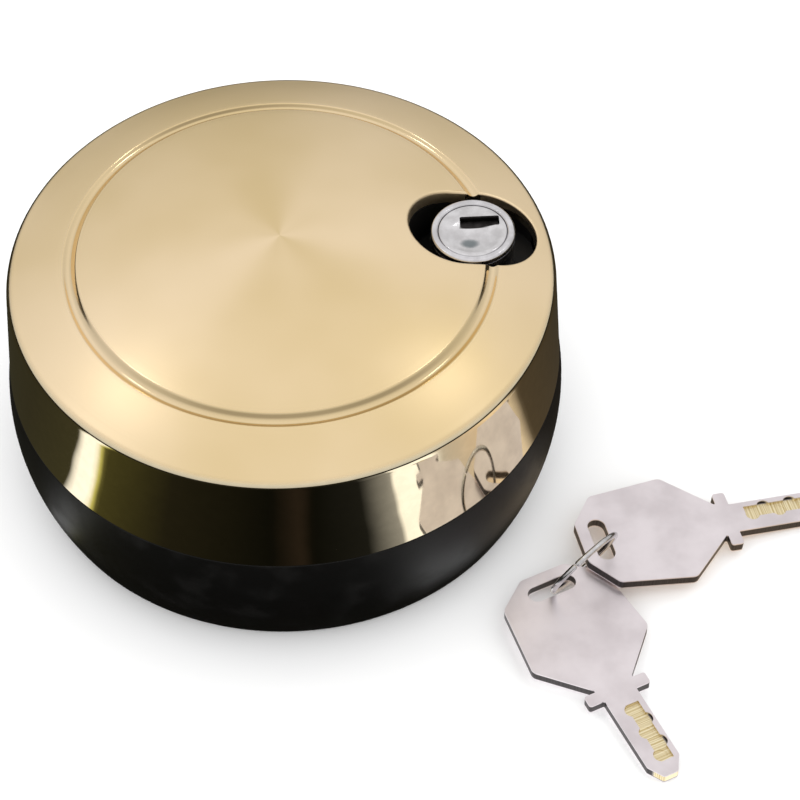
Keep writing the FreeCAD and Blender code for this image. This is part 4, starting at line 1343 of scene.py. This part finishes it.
# --- inner pieces, kept as they are -----------------------------------------------------------------------
CAST_BRASS = Plate("cast_brass", (0.42, 0.32, 0.15), (0.62, 0.48, 0.25), 0.36, 0.14, 0.25, 2.5, depth_mm=0.02)
LOCK_CHROME = Plate("lock_chrome", (0.61, 0.60, 0.62), (0.76, 0.755, 0.78), 0.20, 0.08, 0.4, 3.0)
RING_WIRE = Plate("ring_wire", (0.52, 0.51, 0.52), (0.68, 0.67, 0.68), 0.20, 0.08, 0.6, 4.0)
STEEL = Plate("machined_steel", (0.44, 0.44, 0.46), (0.60, 0.60, 0.62), 0.30, 0.10, 0.4, 5.0, (1.0, 1.0, 4.0))
SPRING_STEEL = Plate("spring_steel", (0.26, 0.26, 0.29), (0.42, 0.42, 0.45), 0.32, 0.10, 0.5, 4.0)
# steel of the keyway shutter, made near-black as painted shade of the deep keyway
SHUTTER_SHADE_STEEL = Plate("shutter_shade_steel", (0.022, 0.020, 0.020), (0.055, 0.05, 0.05), 0.40, 0.10, 0.6, 5.0)
STAMPED_BRASS = Plate("stamped_brass", (0.50, 0.38, 0.17), (0.70, 0.56, 0.29), 0.30, 0.10, 0.6, 5.0)
SEAL_RUBBER = Soft("seal_rubber", (0.012, 0.012, 0.012), (0.028, 0.028, 0.028), 0.68)
NYLON = Soft("nylon", (0.66, 0.65, 0.60), (0.78, 0.77, 0.73), 0.45)


@dataclass
class InnerPieces:
    """The frame's own pieces that keep their shape and get a finish."""

    finishes: dict[Union[Plate, Soft], tuple[str, ...]] = field(default_factory=lambda: {
        STEEL: ("cover_screws", "lock_bracket", "lock_screws", "shutter_pin", "crank", "crank_screw"),
        SPRING_STEEL: ("retaining_ring", "wafer_springs", "shutter_spring", "drive_pin"),
        SHUTTER_SHADE_STEEL: ("keyway_shutter",),
        SEAL_RUBBER: ("cover_seal", "barrel_seal"),
        NYLON: ("hub_bush", "thrust_washer"),
        STAMPED_BRASS: ("wafer_tumblers",),
        CAST_BRASS: ("locking_bolt",),
        LOCK_CHROME: ("lock_barrel",),
    })

    def build(self) -> None:
        """Gives each piece its finish."""
        for finish, names in self.finishes.items():
            material = finish.build()
            for name in names:
                self.paint(name, material)
        self.paint("lock_shroud", BlackMoulding().build())

    @staticmethod
    def paint(name: str, material: bpy.types.Material) -> None:
        """Puts a material in every slot of a node's object.

        Args:
            name: name of the node.
            material: the material.
        """
        for slot in frame["nodes"][name].material_slots:
            slot.material = material
        LOG.info("%s: keeps its shape, finish %s", name, material.name)


# --- studio -----------------------------------------------------------------------------------------------
@dataclass
class Studio:
    """Pale floor, soft light, a ring-shaped card that reflections see, and the camera."""

    distance_mm: float = 674.57
    elevation: float = 0.8803
    yaw: float = -0.032
    pitch: float = -0.0095
    roll: float = 0.045
    lens_mm: float = 158.4315
    sensor_mm: float = 36.0
    aim_z: float = 18.0
    white: float = 1.5
    sky_stops: tuple[tuple[float, Colour], ...] = (
        (0.0, (0.020, 0.018, 0.012)),
        (0.02, (0.64, 0.63, 0.61)),
        (0.45, (0.78, 0.77, 0.76)),
        (0.80, (0.90, 0.885, 0.88)),
        (1.0, (0.98, 0.965, 0.96)),
    )
    room_reach: Point = (53.0, 230.0)
    room_z: float = 0.03
    floor_half: float = 2500.0
    glint_at: Triple = (0.40, 0.20, 0.83)
    glint_size: float = 0.08
    glint_power: float = 0.12
    room_strength: float = 1.6
    room_stops: tuple[tuple[float, Colour], ...] = (
        (-180.0, (0.022, 0.020, 0.011)),
        (-158.5, (0.030, 0.028, 0.014)),
        (-157.0, (0.80, 0.80, 0.80)),
        (-151.0, (0.85, 0.85, 0.85)),
        (-149.2, (0.42, 0.40, 0.12)),
        (-147.5, (0.040, 0.037, 0.012)),
        (-125.0, (0.010, 0.009, 0.005)),
        (-96.0, (0.003, 0.003, 0.002)),
        (-88.0, (0.014, 0.010, 0.007)),
        (-84.0, (0.003, 0.003, 0.002)),
        (-70.0, (0.008, 0.008, 0.007)),
        (-60.5, (0.20, 0.20, 0.20)),
        (-59.0, (0.80, 0.80, 0.80)),
        (-46.0, (0.85, 0.85, 0.85)),
        (-43.0, (0.36, 0.33, 0.30)),
        (-30.0, (0.46, 0.37, 0.28)),
        (-24.0, (0.62, 0.50, 0.36)),
        (-16.0, (0.50, 0.42, 0.32)),
        (-11.0, (0.050, 0.038, 0.024)),
        (40.0, (0.020, 0.017, 0.011)),
        (180.0, (0.022, 0.020, 0.011)),
    )

    def camera(self) -> None:
        """Sets up the camera."""
        back, high = self.distance_mm * math.cos(self.elevation), self.distance_mm * math.sin(self.elevation)
        place = Vector((0.0, -back, high))
        ahead = (Vector((0.0, 0.0, self.aim_z)) - place).normalized()
        right = ahead.cross(Vector((0, 0, 1))).normalized()
        up = right.cross(ahead)
        level = Matrix((right, up, ahead))
        tip = Matrix.Rotation(self.pitch, 3, "X") @ Matrix.Rotation(self.yaw, 3, "Y")
        seen = Matrix.Rotation(self.roll, 3, "Z") @ tip @ level
        data = bpy.data.cameras.new("camera")
        data.sensor_width = self.sensor_mm
        data.lens = self.lens_mm
        data.clip_start, data.clip_end = 0.01, 20.0
        camera = bpy.data.objects.new("camera", data)
        axes = Matrix((seen[0], seen[1], -seen[2])).transposed().to_4x4()
        camera.matrix_world = Matrix.Translation(place * MM) @ axes
        bpy.context.scene.collection.objects.link(camera)
        bpy.context.scene.camera = camera

    def world(self) -> None:
        """Even white light, with a graded room of its own for what shiny surfaces mirror."""
        n = Nodes(bpy.data.worlds.new("studio"))
        bpy.context.scene.world = n.owner
        height = n.add("ShaderNodeSeparateXYZ", {}, {0: n.add("ShaderNodeTexCoord", output="Generated")}, "Z")
        room = n.add("ShaderNodeValToRGB", {"stops": self.sky_stops}, {0: height})
        mirrored = n.add("ShaderNodeLightPath", output="Is Glossy Ray")
        white = (self.white, self.white, self.white, 1.0)
        colour = n.add("ShaderNodeMix", {"data_type": "RGBA"}, {0: mirrored, 6: white, 7: room}, 2)
        n.add("ShaderNodeOutputWorld", {}, {"Surface": n.add("ShaderNodeBackground", {}, {"Color": colour})})

    def floor(self) -> None:
        """The floor, which polished metal doesn't mirror."""
        half = self.floor_half
        floor = prism("floor", slab(-half, half, -half, half), -3.0, 0.0)
        floor.data.materials.append(PaleFloor().build())
        floor.visible_glossy = False

    def room(self) -> None:
        """A flat ring just over the floor that only shows in reflections."""
        headings = [math.radians(6 * k) for k in range(60)]
        mesh = bmesh.new()
        rings = []
        for radius in self.room_reach:
            spots = [(radius * math.cos(a), radius * math.sin(a), self.room_z) for a in headings]
            rings.append([mesh.verts.new(spot) for spot in spots])
        for i in range(len(headings)):
            j = (i + 1) % len(headings)
            mesh.faces.new((rings[0][i], rings[1][i], rings[1][j], rings[0][j]))
        card = as_object("room_card", mesh)
        card.data.materials.append(RoomGlow(self.room_strength, self.room_stops).build())
        card.visible_camera = False
        card.visible_diffuse = False
        card.visible_shadow = False

    def glint(self, name: str, side: float) -> None:
        """A small light aimed at the object.

        Args:
            name: name of the light.
            side: 1 to the right, -1 to the left.
        """
        place = (side * self.glint_at[0], self.glint_at[1], self.glint_at[2])
        data = bpy.data.lights.new(name, "AREA")
        data.shape = "RECTANGLE"
        data.size = data.size_y = self.glint_size
        data.energy = self.glint_power
        light = bpy.data.objects.new(name, data)
        light.location = place
        light.rotation_euler = (Vector((0.0, 0.0, 0.03)) - Vector(place)).to_track_quat("-Z", "Y").to_euler()
        bpy.context.scene.collection.objects.link(light)

    def build(self) -> None:
        """Sets up the whole studio."""
        self.world()
        self.floor()
        self.room()
        self.glint("glint_left", -1.0)
        self.glint("glint_right", 1.0)
        self.camera()
        view = bpy.context.scene.view_settings
        view.view_transform = "Standard"
        view.look = "None"


def main() -> None:
    """Builds every piece and the studio."""
    logging.basicConfig(level=logging.INFO, format="%(name)s: %(message)s")
    InnerPieces().build()
    cover = BrassCover()
    cover.build()
    Skirt(cover.seam_r).build()
    ScrewCap().build()
    Lock().build()
    Key("key_a", math.radians(-66.4), (4.05, 0.87)).build()
    Key("key_b", math.radians(12.0), (4.15, -1.37)).build()
    KeyRing().build()
    Studio().build()


if __name__ == "__main__":
    main()
